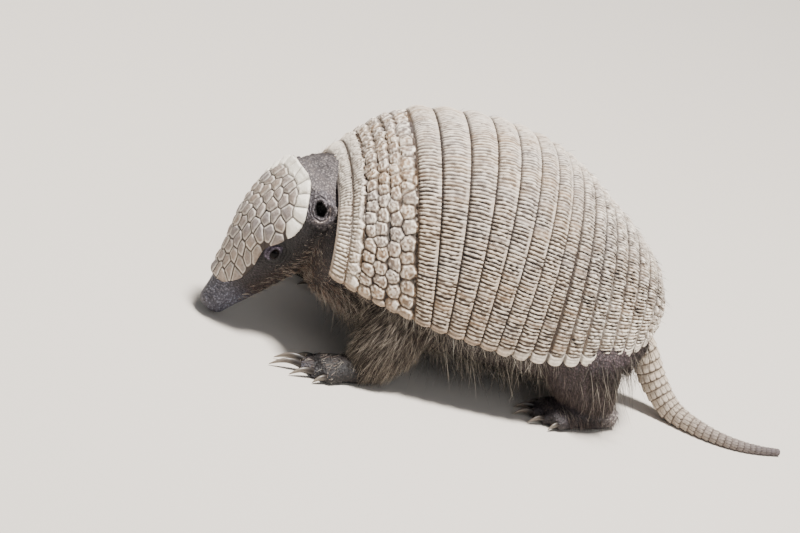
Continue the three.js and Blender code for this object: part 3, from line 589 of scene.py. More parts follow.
def bare_skin():
    """Leathery skin: matt with a faint greasy sheen, pebbled, in the colours stored on the skin."""
    made, tree = finish("leathery_bare_skin")
    place = node(tree, "TexCoord", out="Object")
    fine = node(tree, "TexNoise", {"Vector": place, "Scale": 1100.0, "Detail": 5.0, "Roughness": 0.65}, "Fac")
    pebble = node(tree, "TexVoronoi", {"Vector": place, "Scale": 980.0}, "Distance")
    hide = node(tree, "Attribute", out="Color", attribute_name="hide")
    uneven = node(tree, "Math", {0: fine, 1: 1.3, 2: -0.65}, operation="MULTIPLY_ADD")
    spread = node(tree, "Math", {0: pebble, 1: uneven}, operation="SUBTRACT")
    speck = node(tree, "ValToRGB", {"Fac": spread},
                 ramp=[(0.12, (1.3, 1.27, 1.25, 1)), (0.50, (0.26, 0.24, 0.26, 1))])
    base = node(tree, "Mix", {0: 0.9, 6: hide, 7: speck}, 2, data_type="RGBA", blend_type="MULTIPLY")
    height = node(tree, "Math", {0: pebble, 1: -0.8, 2: fine}, operation="MULTIPLY_ADD")
    bump = node(tree, "Bump", {"Height": height, "Distance": 0.00055, "Strength": 1.0})
    shader = node(tree, "BsdfPrincipled", {"Base Color": base, "Roughness": 0.55, "Normal": bump})
    node(tree, "OutputMaterial", {"Surface": shader})
    return made


def hair(name, roughness):
    """Hair keratin: half matt, so each lock catches a soft line of light, in the colours stored on it."""
    made, tree = finish(name)
    tint = node(tree, "Attribute", out="Color", attribute_name="hair")
    shader = node(tree, "BsdfPrincipled",
                  {"Base Color": tint, "Roughness": roughness, "Specular IOR Level": 0.35})
    node(tree, "OutputMaterial", {"Surface": shader})
    return made


def wet_eye():
    """A wet, nearly black eye: a brown iris round a wide pupil, smooth enough for a small sharp light."""
    made, tree = finish("wet_dark_eye")
    off = node(tree, "Attribute", out="Fac", attribute_name="off")
    base = node(tree, "ValToRGB", {"Fac": off}, ramp=[(0.30, linear("#050405")), (0.44, linear("#1c120d")),
                                                      (0.60, linear("#0b0809"))])
    shader = node(tree, "BsdfPrincipled", {"Base Color": base, "Roughness": 0.07, "Specular IOR Level": 0.08})
    node(tree, "OutputMaterial", {"Surface": shader})
    return made


def claw_horn():
    """Claw horn: satin, dark grey at the root and pale and worn towards the point, streaked lengthwise."""
    made, tree = finish("satin_claw_horn")
    place = node(tree, "TexCoord", out="Object")
    streak = node(tree, "TexNoise", {"Vector": place, "Scale": 700.0, "Detail": 4.0, "Roughness": 0.6}, "Fac")
    along = node(tree, "Attribute", out="Fac", attribute_name="along")
    base = node(tree, "ValToRGB", {"Fac": along}, ramp=[(0.25, linear("#2f2926")), (0.85, linear("#7f7468"))])
    speck = node(tree, "ValToRGB", {"Fac": streak}, ramp=[(0.3, (0.5, 0.5, 0.5, 1)), (0.7, (1, 1, 1, 1))])
    base = node(tree, "Mix", {0: 0.7, 6: base, 7: speck}, 2, data_type="RGBA", blend_type="MULTIPLY")
    bump = node(tree, "Bump", {"Height": streak, "Distance": 0.0001, "Strength": 1.0})
    shader = node(tree, "BsdfPrincipled", {"Base Color": base, "Roughness": 0.38, "Normal": bump})
    node(tree, "OutputMaterial", {"Surface": shader})
    return made


def paper():
    """Seamless backdrop paper: matt and pale."""
    made, tree = finish("matt_pale_paper")
    shader = node(tree, "BsdfPrincipled", {"Base Color": linear("#d2cbc2"), "Roughness": 0.9})
    node(tree, "OutputMaterial", {"Surface": shader})
    return made


# the fourth colour of each finish is the colour of the painted shade in its grooves
SHELL = scutes("dry_horn_over_bony_scutes", "#a88a6c", "#948781", "#fff4e4", "#241a15")
HEAD_SCUTES = scutes("thin_horn_over_head_scutes", "#9d8d80", "#8a8280", "#fff8ea", "#281e1a")
TAIL_SCUTES = scutes("dry_horn_over_tail_scutes", "#cbb9a2", "#bcab9a", "#ebdfcf", "#33271f", "#5a5155")
HIDE, FUR, EYE, CLAW = bare_skin(), hair("half_matt_hair", 0.5), wet_eye(), claw_horn()


# ---- head --------------------------------------------------------------------------------------------------

def head_axes():
    """The head's forward, left and up directions, turned, pitched and rolled."""
    forward = np.array([math.cos(HEAD_PITCH) * math.sin(HEAD_YAW), -math.cos(HEAD_PITCH) * math.cos(HEAD_YAW),
                        -math.sin(HEAD_PITCH)])
    left = np.array([math.cos(HEAD_YAW), math.sin(HEAD_YAW), 0.0])
    up = np.cross(forward, left)
    c, s = math.cos(HEAD_ROLL), math.sin(HEAD_ROLL)
    return np.stack([forward, c * left - s * up, c * up + s * left])


HEAD_AXES = head_axes()


def in_head(p):
    """Design place of a point given in the head's own frame."""
    return HEAD_BACK + np.asarray(p, float) @ HEAD_AXES


def on_side(place, side):
    """A place or direction in the head's own frame, moved to the left, 1, or the right, -1."""
    return place * np.array([1, side, 1])


def from_place(head, place):
    """Distance of points in the head's frame from a place on the left, or the same place on the right."""
    return np.linalg.norm(head * [1, 0, 1] + [0, 1, 0] * np.abs(head) - place, axis=1)


def to_head(p):
    """The head's own frame for a point of the design."""
    return (p - HEAD_BACK) @ HEAD_AXES.T


def head_point(station, angle, lift):
    """Superellipse ring round the head at a station; angle 0 is the crown, 90 the left cheek."""
    turn = np.radians(angle)
    across = (smooth(HEAD_HALF, station / 10) + lift) * power(np.sin(turn), 2 / HEAD_ROUNDNESS)
    reach = np.where(np.cos(turn) > 0, smooth(HEAD_TOP, station / 10), smooth(HEAD_BOTTOM, station / 10))
    high = (reach + lift) * power(np.cos(turn), 2 / HEAD_ROUNDNESS)
    return in_head(np.stack(np.broadcast_arrays(station, across, high), -1))


def head_rings(inset):
    """The head from its rounded back to the nose, with the nose pad rounded over."""
    angles = np.arange(96) * 360 / 96
    flat = head_point(np.linspace(0, NOSE_START, 90)[:, None], angles[None], -inset)
    cap = []
    for station, share in ((-4, 0.55), (-2.5, 0.85)):
        middle = in_head((station, 0, 0))
        cap.append(middle + (flat[0] - in_head((0, 0, 0))) * share)
    turn = np.linspace(0, 1.35, 9)[1:]
    reach = NOSE_START + (NOSE_TIP - NOSE_START) * np.sin(turn)
    tips = in_head(np.stack([reach, 0 * turn, 0 * turn], -1))
    nose = tips[:, None] + (flat[-1] - in_head((NOSE_START, 0, 0)))[None] * np.cos(turn)[:, None, None] ** 0.8
    return np.concatenate([np.array(cap), flat, nose])


def shield_edge(station):
    """Angle from the crown to the head shield's side edge."""
    return smooth(SHIELD_ANGLE, np.interp(station, SHIELD_STATION, np.arange(len(SHIELD_STATION))))


def distance(points, line):
    """Distance of flat points from the nearest of a line's points."""
    return np.concatenate([np.linalg.norm(part[:, None] - line[None], axis=-1).min(1)
                           for part in np.array_split(points, 20)])


def shield_pattern(station, y):
    """Scutes of the head shield: a rim row along its rear edge, and staggered polygons before it, in a
    lattice that sweeps forward to the sides. Gives each point's scute, its distances from the scute's
    border, the shield's outline and its rear edge, and 1 on the rim row."""
    side_part = np.linspace(20, SHIELD_REAR, 60)      # the rear edge runs forward at both sides
    rear_station = np.concatenate([side_part, np.full(13, float(SHIELD_REAR)),
                                   np.linspace(SHIELD_REAR, 20, 60)])
    sign = np.concatenate([np.full(60, -1.0), np.linspace(-1, 1, 13), np.full(60, 1.0)])
    rear = np.stack([rear_station, shield_arc(rear_station, shield_edge(rear_station) * sign)], -1)
    whole = np.linspace(SHIELD_REAR, SHIELD_TIP, 160)
    side = shield_arc(whole, shield_edge(whole))
    length = run(rear)
    at = np.linspace(3.2, length[-1] - 3.2, 11)
    on = np.stack([np.interp(at, length, rear[:, 0]), np.interp(at, length, rear[:, 1])], -1)
    rim = on + 2.7 * unit(np.array([24.0, 0.0]) - on)
    k, j = pairs(np.arange(-4, 12), np.arange(-7, 8))
    forward = 5.6 * k + 2.2 * (chance(k + 9, j + 9, 21) - 0.5)
    across = (j + 0.5 * (k % 2)) * (4.7 - 0.05 * k) + 0.07 * j * np.abs(j)
    across = across + 1.7 * (chance(k + 9, j + 9, 22) - 0.5)
    inner = np.stack([forward + SHIELD_SWEEP * np.abs(across), across], -1)
    clear = np.linalg.norm(inner[:, None] - rear[None], axis=-1).min(1) > 6.3
    within = np.abs(inner[:, 1]) < np.interp(inner[:, 0], whole, side) - 1.4
    centres = np.concatenate([rim, inner[clear & within]])
    centres[:, 0] -= SHIELD_SWEEP * np.abs(centres[:, 1])
    points = np.stack([station, y], -1).reshape(-1, 2)
    bent = points + 0.42 * np.stack([sheet_noise(points, 3.0, 31), sheet_noise(points, 3.0, 32)], -1)
    bent[:, 0] -= SHIELD_SWEEP * np.sqrt(bent[:, 1] ** 2 + 1)
    near, reach, border = cells(bent, centres)
    border = np.where(near < len(rim), border, np.minimum(border, 1.15 * (4.1 - reach)))
    outline = np.concatenate([np.stack([whole, side], -1), np.stack([whole, -side], -1), rear])
    found = (near, border, distance(points, outline), distance(points, rear), (near < len(rim)) * 1.0)
    return [a.reshape(station.shape) for a in found]


def shield_arc(station, angle):
    """Distance round the head from the crown at a station, for one angle or a row of angles to each."""
    turns = np.linspace(0, 90, 181)
    s = run(head_point(station[:, None], turns[None], 2.0))
    return np.array([np.interp(abs(a), turns, line) for a, line in zip(angle, s)]) * np.sign(angle)


def head_shield():
    """The head shield as a closed plate: each scute is a low dome, the rim row stands higher, and the outer
    face rounds over at the outline."""
    rows, columns = 200, 150
    station = np.linspace(SHIELD_REAR, SHIELD_TIP, rows)
    angle = shield_edge(station)[:, None] * np.linspace(-1, 1, columns)[None]
    y = shield_arc(station, angle)
    grid = np.broadcast_to(station[:, None], y.shape).copy()
    near, border, off, back, rim = shield_pattern(grid, y)
    plate = 0.70 * step(-0.15, 1.1, border) + 0.34 * step(0.6, 2.6, border)
    lift = SHIELD_CLEAR + SHIELD_THICK + plate - 0.60 + 0.6 * rim * step(0, 5.2, 5.6 - back)
    lift = lift + 0.26 * (chance(near, 41) - 0.5)
    place = np.stack([grid, y], -1)
    lift = lift + 0.10 * sheet_noise(place, 2.2, 33) + 0.05 * sheet_noise(place, 0.9, 34)
    lift = lift - 1.15 * (1.0 - np.sqrt(1 - np.clip((1.1 - off) / 1.1, 0, 1) ** 2 * 0.99))
    inside = np.full(grid.shape, 0.85)
    points, faces = two_faced(head_point(grid, angle, lift), head_point(grid, angle, inside))
    # painted shade in the seams between scutes, less on the rim row towards the middle; painted highlight in a
    # band just inside each scute's border; the rim row's paleness is its own cream
    groove_shade = (1 - step(0.02, 0.48, border)) * (1 - 0.6 * rim * step(-18, 10, -np.abs(y)))
    pale = 0.55 * np.exp(-((border - 0.62) / 0.26) ** 2) + rim * 1.4
    tone = 2.4 * chance(near, 42) - 1.2
    # the under face gets painted shade and no paleness
    both = {key: np.concatenate([a.ravel(), np.full(a.size, under)])
            for key, a, under in (("groove_shade", groove_shade, 0.6), ("pale", pale, 0.0), ("tone", tone, 0.0))}
    return fit(piece("horn_head_shield", points, faces, both), "head_plates", HEAD_SCUTES, "head_shield")


# ---- skin --------------------------------------------------------------------------------------------------

def trunk_rings(inset):
    """The trunk under the shell: hoops drawn in above, the belly's half ellipse below, domed at both ends.
    Where the shell covers it, well inside the margin, it lies deeper."""
    upper = np.linspace(-90, 90, 61)[:-1]
    lower = np.radians(np.linspace(90, 270, 41)[:-1])
    rows = np.linspace(ROW_FRONT + 0.2, ROW_REAR - 0.3, 80)[:, None]
    depth = PLATE_THICK + FLESH_CLEAR + inset
    hidden = step(-5.2, -3, rows) * (1 - step(14, 16, rows)) * (1 - step(66, 80, np.abs(upper)))[None]
    top = back_point(rows, upper[None]) - back_normal(rows, upper[None]) * (depth + 8 * hidden)[..., None]
    lean, along, high = np.radians(hoop(rows, HOOP_LEAN)), hoop(rows, HOOP_Y), hoop(rows, HOOP_Z)
    side = (hoop(rows, HOOP_HALF) - depth - 5) * np.sin(lower)[None]
    drop = (hoop(rows, BELLY_DROP) - depth + PLATE_THICK) * np.cos(lower)[None] - 1
    low = np.stack([side, along - drop * np.sin(lean), high + drop * np.cos(lean)], -1)
    rings = np.concatenate([top, low], 1)
    half = (hoop(rows, HOOP_RISE) - hoop(rows, BELLY_DROP)) / 2
    middle = np.concatenate([0 * half, along - half * np.sin(lean), high + half * np.cos(lean)], 1)
    front = [middle[0] + (rings[0] - middle[0]) * share - Y * reach
             for reach, share in ((7, 0.45), (5.5, 0.72), (3, 0.92))]
    rear = [middle[-1] + (rings[-1] - middle[-1]) * 0.7 + Y * 3]
    return np.concatenate([np.array(front), rings, np.array(rear)])


def leg_line(name):
    """Middle line of a leg, from the body to the foot."""
    side, joints = LEGS[name][:2]
    return np.array(joints, float) * [side, 1, 1]


def toes(side, heel, toe, spread):
    """Root, direction and number of the five toes of a foot, fanned out."""
    heel, toe = np.array([heel[0] * side, heel[1], 0.0]), np.array([toe[0] * side, toe[1], 0.0])
    forward = unit(toe - heel)
    across = np.array([-forward[1], forward[0], 0.0])
    for i, n in enumerate((-2, -1, 0, 1, 2)):
        fan = math.radians(11 * n)
        yield (toe + across * n * spread / 2.1 - forward * 2 * abs(n),
               forward * math.cos(fan) + across * math.sin(fan), i if side > 0 else 4 - i)


def foot_shapes(kind, side, heel, toe, spread, inset):
    """The pad of a foot and its five toes, as tubes."""
    a, b = np.array([heel[0] * side, heel[1], 0.0]), np.array([toe[0] * side, toe[1], 0.0])
    height = FOOT_HEIGHT[kind] - inset
    pad = [a + (b - a) * reach + Z * height * level for reach, level in
           ((-0.12, 0.4), (0.2, 0.46), (1, 0.34), (1.12, 0.24))]
    sideways = unit(np.array([b[1] - a[1], a[0] - b[0], 0.0]))
    widths = np.array([3, 6.8, spread + 1.6, spread - 1]) - inset
    yield tube(pad, widths, height * np.array([0.38, 0.58, 0.46, 0.3]), 24, 32, sideways)
    for root, direction, order in toes(side, heel, toe, spread):
        r, reach = TOE_RADIUS[kind] - inset, TOE_LENGTH[kind][order]
        middle = ((-4, r), (reach * 0.5, r * 1.15), (reach, r * 0.95))
        points = [root + direction * forward + Z * high for forward, high in middle]
        across = np.array([direction[1], -direction[0], 0.0])
        yield tube(points, [r, r, r * 0.78], np.array([1.1, 1.15, 0.85]) * r, 14, 16, across)


def ear_shape(side):
    """A small cup that opens outwards: an oval wrapped round the ear's own line, with a thick rim."""
    root = in_head(on_side(EAR_PLACE, side))
    lies = unit(on_side(EAR_LIES[side], side)) @ HEAD_AXES
    faces = on_side(EAR_FACES, side) @ HEAD_AXES
    faces = unit(faces - lies * (faces @ lies))
    across = np.cross(lies, faces)
    u, v = np.meshgrid(np.linspace(-0.25, 1, 26), np.linspace(-1, 1, 30), indexing="ij")
    wide = 5.2 * np.sqrt(np.maximum(0.04, 1 - (1.9 * u - 0.9) ** 2 * 0.96))
    turn = v * 1.35
    cup = np.cos(turn) * 5.2 * 0.60 * (1 - 0.55 * u)
    wave = 0.35 * np.sin(v * 9 + u * 4) * step(0.2, 0.9, u)
    layers = []
    for depth in (-0.4, 1.7):
        w = wide - depth * 0.4
        layers.append(root + lies * (11.0 * u - depth * 0.4 * u)[..., None]
                      + across * (w * np.sin(turn))[..., None] + faces * (depth - cup + wave)[..., None])
    return two_faced(*layers)


def ball(centre, radius, around=40, rings=24):
    """A sphere from rings, with small closed poles."""
    turn = 2 * np.pi * np.arange(around) / around
    fall = np.linspace(0.02, np.pi - 0.02, rings)
    ring = np.stack([np.sin(fall)[:, None] * np.cos(turn), np.sin(fall)[:, None] * np.sin(turn),
                     np.cos(fall)[:, None] * np.ones(around)], -1)
    return closed(centre + ring * radius)


MOUTH_LINE = [(72.5, -3.4), (66, -5.0), (57, -7.4), (48, -9.8), (41, -11.2), (36, -10.6)]
NECK_PATH = [np.array([0.0, -62, 53]), np.array([3.5, -74, 57]), in_head((9, 0, -1))]


def flesh():
    """Every soft part as its own closed shape, a coat's depth inside the solids."""
    neck = tube(NECK_PATH, [36.4, 28.4, 18.2], [24.4, 20, 14.8], 30, 60)
    shapes = [closed(head_rings(0.15)), closed(trunk_rings(0.3)), closed(neck), ear_shape(1), ear_shape(-1)]
    shapes += [ball(in_head(on_side(EYE_PLACE, side)), EYE_RADIUS + 0.75) for side in (1, -1)]
    for name, (side, _, *foot) in LEGS.items():
        kind = name.split("_")[0]
        across, along = np.array(LEG_ACROSS[kind]) - COAT_DEPTH, np.array(LEG_ALONG[kind]) - COAT_DEPTH
        shapes.append(closed(tube(leg_line(name), across, along, 40, 40)))
        shapes += [closed(rings) for rings in foot_shapes(kind, side, *foot, 0.15)]
    starts = np.cumsum([0] + [len(p) for p, groups in shapes])
    faces = {3: [], 4: []}
    for (p, groups), start in zip(shapes, starts):
        for g in groups:
            faces[g.shape[1]].append(g + start)
    return np.concatenate([p for p, groups in shapes]), [np.concatenate(faces[4]), np.concatenate(faces[3])]


def worked(obj, name):
    """The mesh that an object's modifiers give, on a new object in place of the old one."""
    mesh = bpy.data.meshes.new_from_object(obj.evaluated_get(bpy.context.evaluated_depsgraph_get()))
    bpy.data.objects.remove(obj)
    made = bpy.data.objects.new(name, mesh)
    bpy.context.scene.collection.objects.link(made)
    return made


def finer(mesh, where):
    """Splits each edge in half whose ends both lie where the head's frame says; new points are smoothed."""
    chosen = where(to_head(places(mesh)[0]))
    work = bmesh.new()
    work.from_mesh(mesh)
    edges = [edge for edge in work.edges if chosen[edge.verts[0].index] and chosen[edge.verts[1].index]]
    bmesh.ops.subdivide_edges(work, edges=edges, cuts=1, use_grid_fill=True, smooth=0.6)
    work.to_mesh(mesh)
    work.free()
    mesh.update()


def thinned(obj, where, keep, name):
    """The object after its modifiers, with its faces thinned to a share where the flags say."""
    group = obj.vertex_groups.new(name="thin")
    group.add(np.flatnonzero(where).tolist(), 1.0, "REPLACE")
    thin = obj.modifiers.new("thin", "DECIMATE")
    thin.ratio, thin.vertex_group = 1 - (1 - keep) * where.mean(), "thin"
    made = worked(obj, name)
    made.vertex_groups.clear()
    return made


def places(mesh):
    """Points of a mesh in the design's millimetres, and their outward directions."""
    count = len(mesh.vertices)
    co, out = np.empty(count * 3, np.float32), np.empty(count * 3, np.float32)
    mesh.vertices.foreach_get("co", co)
    mesh.vertex_normals.foreach_get("vector", out)
    return co.reshape(-1, 3).astype(float) * 1000 - SHIFT, out.reshape(-1, 3).astype(float)


def over_margin(points):
    """Row of the shell that a point lies under, and its height over that row's lower margin."""
    rows = np.linspace(ROW_FRONT - 4, ROW_REAR + 1, 300)
    feet = hoop(rows, HOOP_Y) + np.minimum(rows - ROW_FRONT, 0) * 6.7
    row = np.interp(points[:, 1], feet, rows)
    for _ in range(6):
        lean = np.radians(hoop(row, HOOP_LEAN))
        high = (points[:, 2] - hoop(row, HOOP_Z)) / np.cos(lean)
        row = np.interp(points[:, 1] + high * np.sin(lean), feet, rows)
    return row, high


def skin():
    """One skin over every soft part: the shapes are fused, softened, thinned where the shell or the coat
    covers them, made finer on the head, and then folded: lids, mouth, nostrils, wrinkles."""
    made = piece("skin_rough", *flesh())
    fuse = made.modifiers.new("fuse", "REMESH")
    fuse.mode, fuse.voxel_size = "VOXEL", 0.0008
    made = worked(made, "skin_fused")
    p = places(made.data)[0]
    sharp = made.vertex_groups.new(name="sharp")
    sharp.add(np.flatnonzero(from_place(to_head(p), EAR_HOLE) < 8).tolist(), 0.75, "REPLACE")
    soften = made.modifiers.new("soften", "SMOOTH")
    soften.factor, soften.iterations, soften.vertex_group, soften.invert_vertex_group = 0.5, 7, "sharp", True
    row, high = over_margin(p)
    under_shell = (row > -5.0) & (row < 16.2) & (high > 6)
    made = thinned(made, under_shell, 0.03, "skin_thinned")
    p = places(made.data)[0]
    under_coat = (p[:, 1] > -60) & (p[:, 2] > 12)
    made = thinned(made, under_coat, 0.12, "skin")
    mesh = made.data
    in_sight = lambda q: (np.abs(q[:, 1]) > 9.5) | (q[:, 0] > SHIELD_TIP)
    finer(mesh, lambda q: (q[:, 0] > 1) & (np.abs(q[:, 1]) < 24) & (np.abs(q[:, 2]) < 22) & in_sight(q))
    finer(mesh, lambda q: from_place(q, EYE_PLACE) < 7.0)
    finer(mesh, lambda q: from_place(q, EAR_HOLE) < 6.5)
    p, out = places(mesh)
    p = p + fold_skin(p, out, to_head(p))
    p[:, 2] = np.maximum(p[:, 2], 0.0)
    mesh.vertices.foreach_set("co", ((p + SHIFT) * 0.001).astype(np.float32).ravel())
    mesh.polygons.foreach_set("use_smooth", np.ones(len(mesh.polygons), bool))
    mesh.update()
    p = places(mesh)[0]
    mark(mesh, {}, {"hide": skin_colour(p, to_head(p))})
    limbs = [n for leg in LEGS for n in (f"leg_{leg}_upper", f"leg_{leg}_lower", f"foot_{leg}")]
    return fit(made, "bare_skin", HIDE, "trunk", "head", "neck", "nose", "ear_left", "ear_right", *limbs)


def fold_skin(p, out, head):
    """How far each point of the skin moves: wrinkles by stretched noise, rings round the eyes, the eyes'
    openings pushed in behind the eyeballs, the ears' hollows, the mouth's line and the nostrils."""
    x, y, z = head.T
    on_head = step(-4, 3, x) * (np.abs(y) < 25) * (np.abs(z) < 24) * (p[:, 1] < -64)
    crease = lambda q, size, seed: 1 - 2 * np.sqrt(np.abs(noise(q, size, seed)))
    wrinkle = 0.5 * crease(head * [0.4, 1, 1], 2.6, 51) + 0.35 * noise(head * [0.5, 1, 1], 0.9, 52)
    move = out * (0.24 * on_head * wrinkle * (1 - 0.55 * step(54, 63, x)))[:, None]
    on_neck = (1 - step(-2, 5, x)) * (p[:, 1] < -58)
    move += out * (0.70 * on_neck * (crease(p * [1, 0.45, 1], 4.6, 53) + 0.35 * noise(p, 1.5, 55)))[:, None]
    rest = (1 - np.clip(on_head + on_neck, 0, 1)) * noise(p * [0.5, 1.2, 0.6], 3.0, 54)
    move += out * (0.18 * rest)[:, None]
    line = np.array(MOUTH_LINE)
    t = np.linspace(0, len(line) - 1, 140)
    way = np.stack([smooth(line[:, 0], t), smooth(line[:, 1], t)], -1)
    close = np.full(len(p), 99.0)
    some = (on_head > 0) & (x > 28)
    close[some] = np.linalg.norm(head[some][:, None, ::2] - way[None], axis=-1).min(1)
    move += out * (0.34 * np.exp(-((close - 1.5) / 0.7) ** 2) - 0.95 * np.exp(-(close / 0.6) ** 2))[:, None]
    for side in (1, -1):
        nostril = np.linalg.norm((head - on_side(NOSTRIL, side)) * [0.6, 1, 1.3], axis=1)
        move -= HEAD_AXES[0] * (1.9 * np.exp(-(nostril / 1.0) ** 2))[:, None]
        faces, deep, wide = ear_opening(head, side)
        wide = wide + 0.20 * noise(p, 2.0, 56)
        flap = (np.abs(deep) < 6) * (wide < 3)
        fold = np.cos(2 * np.pi * (wide - 1.22) / 0.46) * np.exp(-np.maximum(wide - 1.1, 0) / 0.7)
        push = 4.6 * (1 - step(0.60, 1.0, wide)) - 0.50 * fold * step(1.0, 1.15, wide)
        move -= ((push * flap)[:, None] * faces) @ HEAD_AXES
        d = head - on_side(EYE_PLACE, side)
        look = unit(on_side(EYE_LOOKS, side))
        fore = unit(np.array([1.0, 0, 0]) - look * look[0])
        a, b, c = d @ fore, d @ (np.cross(fore, look) * side), d @ look
        share = np.sqrt((a / LID_HALVES[0]) ** 2 + ((b + 0.12 * a) / LID_HALVES[1]) ** 2)
        reach = np.linalg.norm(d, axis=1)
        near = (c > -1.5) & (reach < 12)
        fold = np.cos(2 * np.pi * (share - 1.15) / 0.66) * np.exp(-np.maximum(share - 1.1, 0) / 1.1)
        move += out * (0.34 * fold * step(0.95, 1.12, share) * near * (1 - step(8, 12, reach)))[:, None]
        sink = (1 - step(0.80, 1.0, share)) * ((c > 0) & (reach < 6))
        target = (unit(d) * 2.2 - d) @ HEAD_AXES
        move = move * (1 - sink)[:, None] + target * sink[:, None]
    return move


def ear_opening(head, side):
    """The way an ear faces, how deep points lie along it, and how wide of it: 1 at the opening's edge."""
    ear = head - on_side(EAR_HOLE, side)
    lies, faces = unit(on_side(EAR_LIES[side], side)), on_side(EAR_FACES, side)
    faces = unit(faces - lies * (faces @ lies))
    across = np.cross(lies, faces)
    wide = np.sqrt((ear @ lies / EAR_HALVES[0]) ** 2 + (ear @ across / EAR_HALVES[1]) ** 2)
    return faces, ear @ faces, wide


def skin_colour(p, head):
    """Colour of the skin, and the coat's ground colour, for points of the design: patches laid over each
    other, mottled a little, and all of it paler with distance from the right ear."""
    x, z = head[:, 0], head[:, 2]
    tint = lambda code: np.array(linear(code)[:3])
    small = noise(p, 2.4, 62)
    colour = np.tile(tint("#221b19"), (len(p), 1))

    def lay(code, share):
        share = np.clip(share, 0, 1)[:, None]
        colour[:] = colour * (1 - share) + tint(code) * share

    front, rear = (p[:, 1] < -20), (p[:, 1] > 20)
    low = 1 - step(24, 34, p[:, 2])
    lay("#3d312c", low * front)
    lay("#2c2426", rear * (1 - step(34, 46, p[:, 2])) * 0.9)
    lay("#100d0e", (p[:, 2] < 13) * front * (1 - step(8, 13, p[:, 2])))
    lay("#1f1a1c", (1 - step(7, 12, p[:, 2])) * rear)
    heel = np.exp(-((p[:, 1] - 74) / 6) ** 2) * np.exp(-((p[:, 2] - 7) / 6) ** 2)
    lay("#7b7672", heel * 0.8)
    on_neck = (1 - step(-1, 5, x)) * (p[:, 1] < -58)
    lay("#5f5a59", on_neck * step(-14, 4, z))
    # painted shade: the neck darkens towards its underside
    lay("#1e1715", on_neck * (1 - step(-14, 2, z)))
    on_head = step(0, 5, x) * (p[:, 1] < -68)
    lay("#1c1719", on_head)
    lay("#241a16", on_head * (1 - step(-6, 2, z)) * (1 - step(50, 58, x)) * 0.8)
    lay("#3c3d45", step(52, 61, x) * (0.85 + 0.3 * small))
    lay("#29282e", step(68, 73, x) * 0.7)
    for side in (1, -1):
        d = np.linalg.norm(head - on_side(EYE_PLACE, side), axis=1)
        lay("#0d0a0c", 1 - step(4.5, 12.0, d * np.where(x < EYE_PLACE[0], 0.75, 1) + 1.5 * small))
        # painted highlight: a pale purple crescent on the upper lid
        lay("#5a5263", 0.6 * np.exp(-((d - 4.3) / 0.6) ** 2) * step(4.5, 6.5, z))
        deep, wide = ear_opening(head, side)[1:]
        by_ear = np.abs(deep) < 6
        lay("#575356", by_ear * (1 - step(2.2, 2.7, wide)) * 0.9)
        lay("#8b817c", 0.8 * by_ear * np.exp(-((wide - 1.62) / 0.14) ** 2) * (z < EAR_HOLE[2] - 1))
        # painted shade: near black inside the ear's opening
        lay("#0c090a", (deep < 3) * (deep > -8) * (1 - step(0.85, 1.12, wide + 0.20 * noise(p, 2.0, 56))))
    colour *= (1 + 0.14 * wide + 0.16 * small)[:, None]
    return np.c_[np.clip(colour, 0, 1), np.ones(len(p))]


# ---- tail, eyes and claws ----------------------------------------------------------------------------------

def tail():
    """A tapering tube in rings of scutes: each ring rises to its rear edge, and its scutes are rounded there
    and parted by grooves; the rings crowd towards the tip."""
    steps, sides, scutes = 400, 96, 13      # rings of points, points in a ring, scutes round the tail
    middle, along, at = path(TAIL_PATH, steps)
    side = unit(X - along * (along @ X)[:, None])
    over = np.cross(along, side)
    length = run(middle)
    pitch = np.interp(length, [0, 40, 75, 125], [5.0, 4.4, 3.2, 2.2])     # length of one ring of scutes
    ring = np.concatenate([[0], np.cumsum(np.diff(length) / pitch[1:])])[:, None]
    around = np.arange(sides)[None] / sides
    k = np.floor(ring)
    f = ring - k
    phase = around * scutes + 0.5 * (k % 2) + 0.12 * (2 * chance(k + 50, 3) - 1)
    q = 2 * np.abs(phase - np.floor(phase) - 0.5)
    bend = np.clip(f + 0.20 * q**2, 0, 1.2)
    gap = step(0.70, 0.98, q) * step(0.12, 0.3, f)
    rear = 1 - step(0.93, 1.04, bend)
    size = np.interp(length, [0, 60, 90, 125], [1, 0.75, 0.42, 0.25])[:, None]
    lift = size * ((0.85 * bend**1.4 - 0.2) * rear - 0.40 * gap)
    radius = smooth(TAIL_RADIUS, at)[:, None] - 0.25 * size + lift
    turn = 2 * np.pi * around
    rings = middle[:, None] + radius[..., None] * (side[:, None] * np.cos(turn)[..., None]
                                                   + over[:, None] * np.sin(turn)[..., None])
    rings[..., 2] = np.maximum(rings[..., 2], 0.0)
    points, faces = closed(rings)
    grid = np.broadcast_to(length[:, None] / length[-1], lift.shape)
    # painted shade in the gaps between scutes and across the front of each ring, under the rear edge of the
    # ring before; fainter towards the tip
    groove_shade = np.maximum(gap, 1 - step(0.04, 0.24, f) * np.ones_like(q))
    groove_shade = groove_shade * np.interp(grid, [0, 0.6, 1], [1, 0.9, 0.7])
    wide = lambda a: np.concatenate([np.broadcast_to(a, lift.shape).ravel(), [0, 0]])
    values = {"groove_shade": wide(groove_shade), "pale": wide(0.6 * bend * rear * (1 - 0.9 * grid)), "along": wide(grid),
              "tone": wide(2 * chance(np.floor(phase) + 50, k, 12) - 1)}
    made = piece("tail_in_rings_of_scutes", points, faces, values)
    fit(made, "tail_scutes", TAIL_SCUTES, "tail_base", "tail_end")


def eyes():
    """Two eyeballs at their places in the head."""
    for name, side in (("eye_left", 1), ("eye_right", -1)):
        centre = in_head(on_side(EYE_PLACE, side))
        points, faces = ball(centre, EYE_RADIUS - 0.25)
        look = unit(on_side(EYE_LOOKS, side)) @ HEAD_AXES
        off = np.degrees(np.arccos(np.clip(unit(points - centre) @ look, -1, 1)))
        fit(piece("ball_of_" + name, points, faces, {"off": off / 90}), "eye", EYE, name)


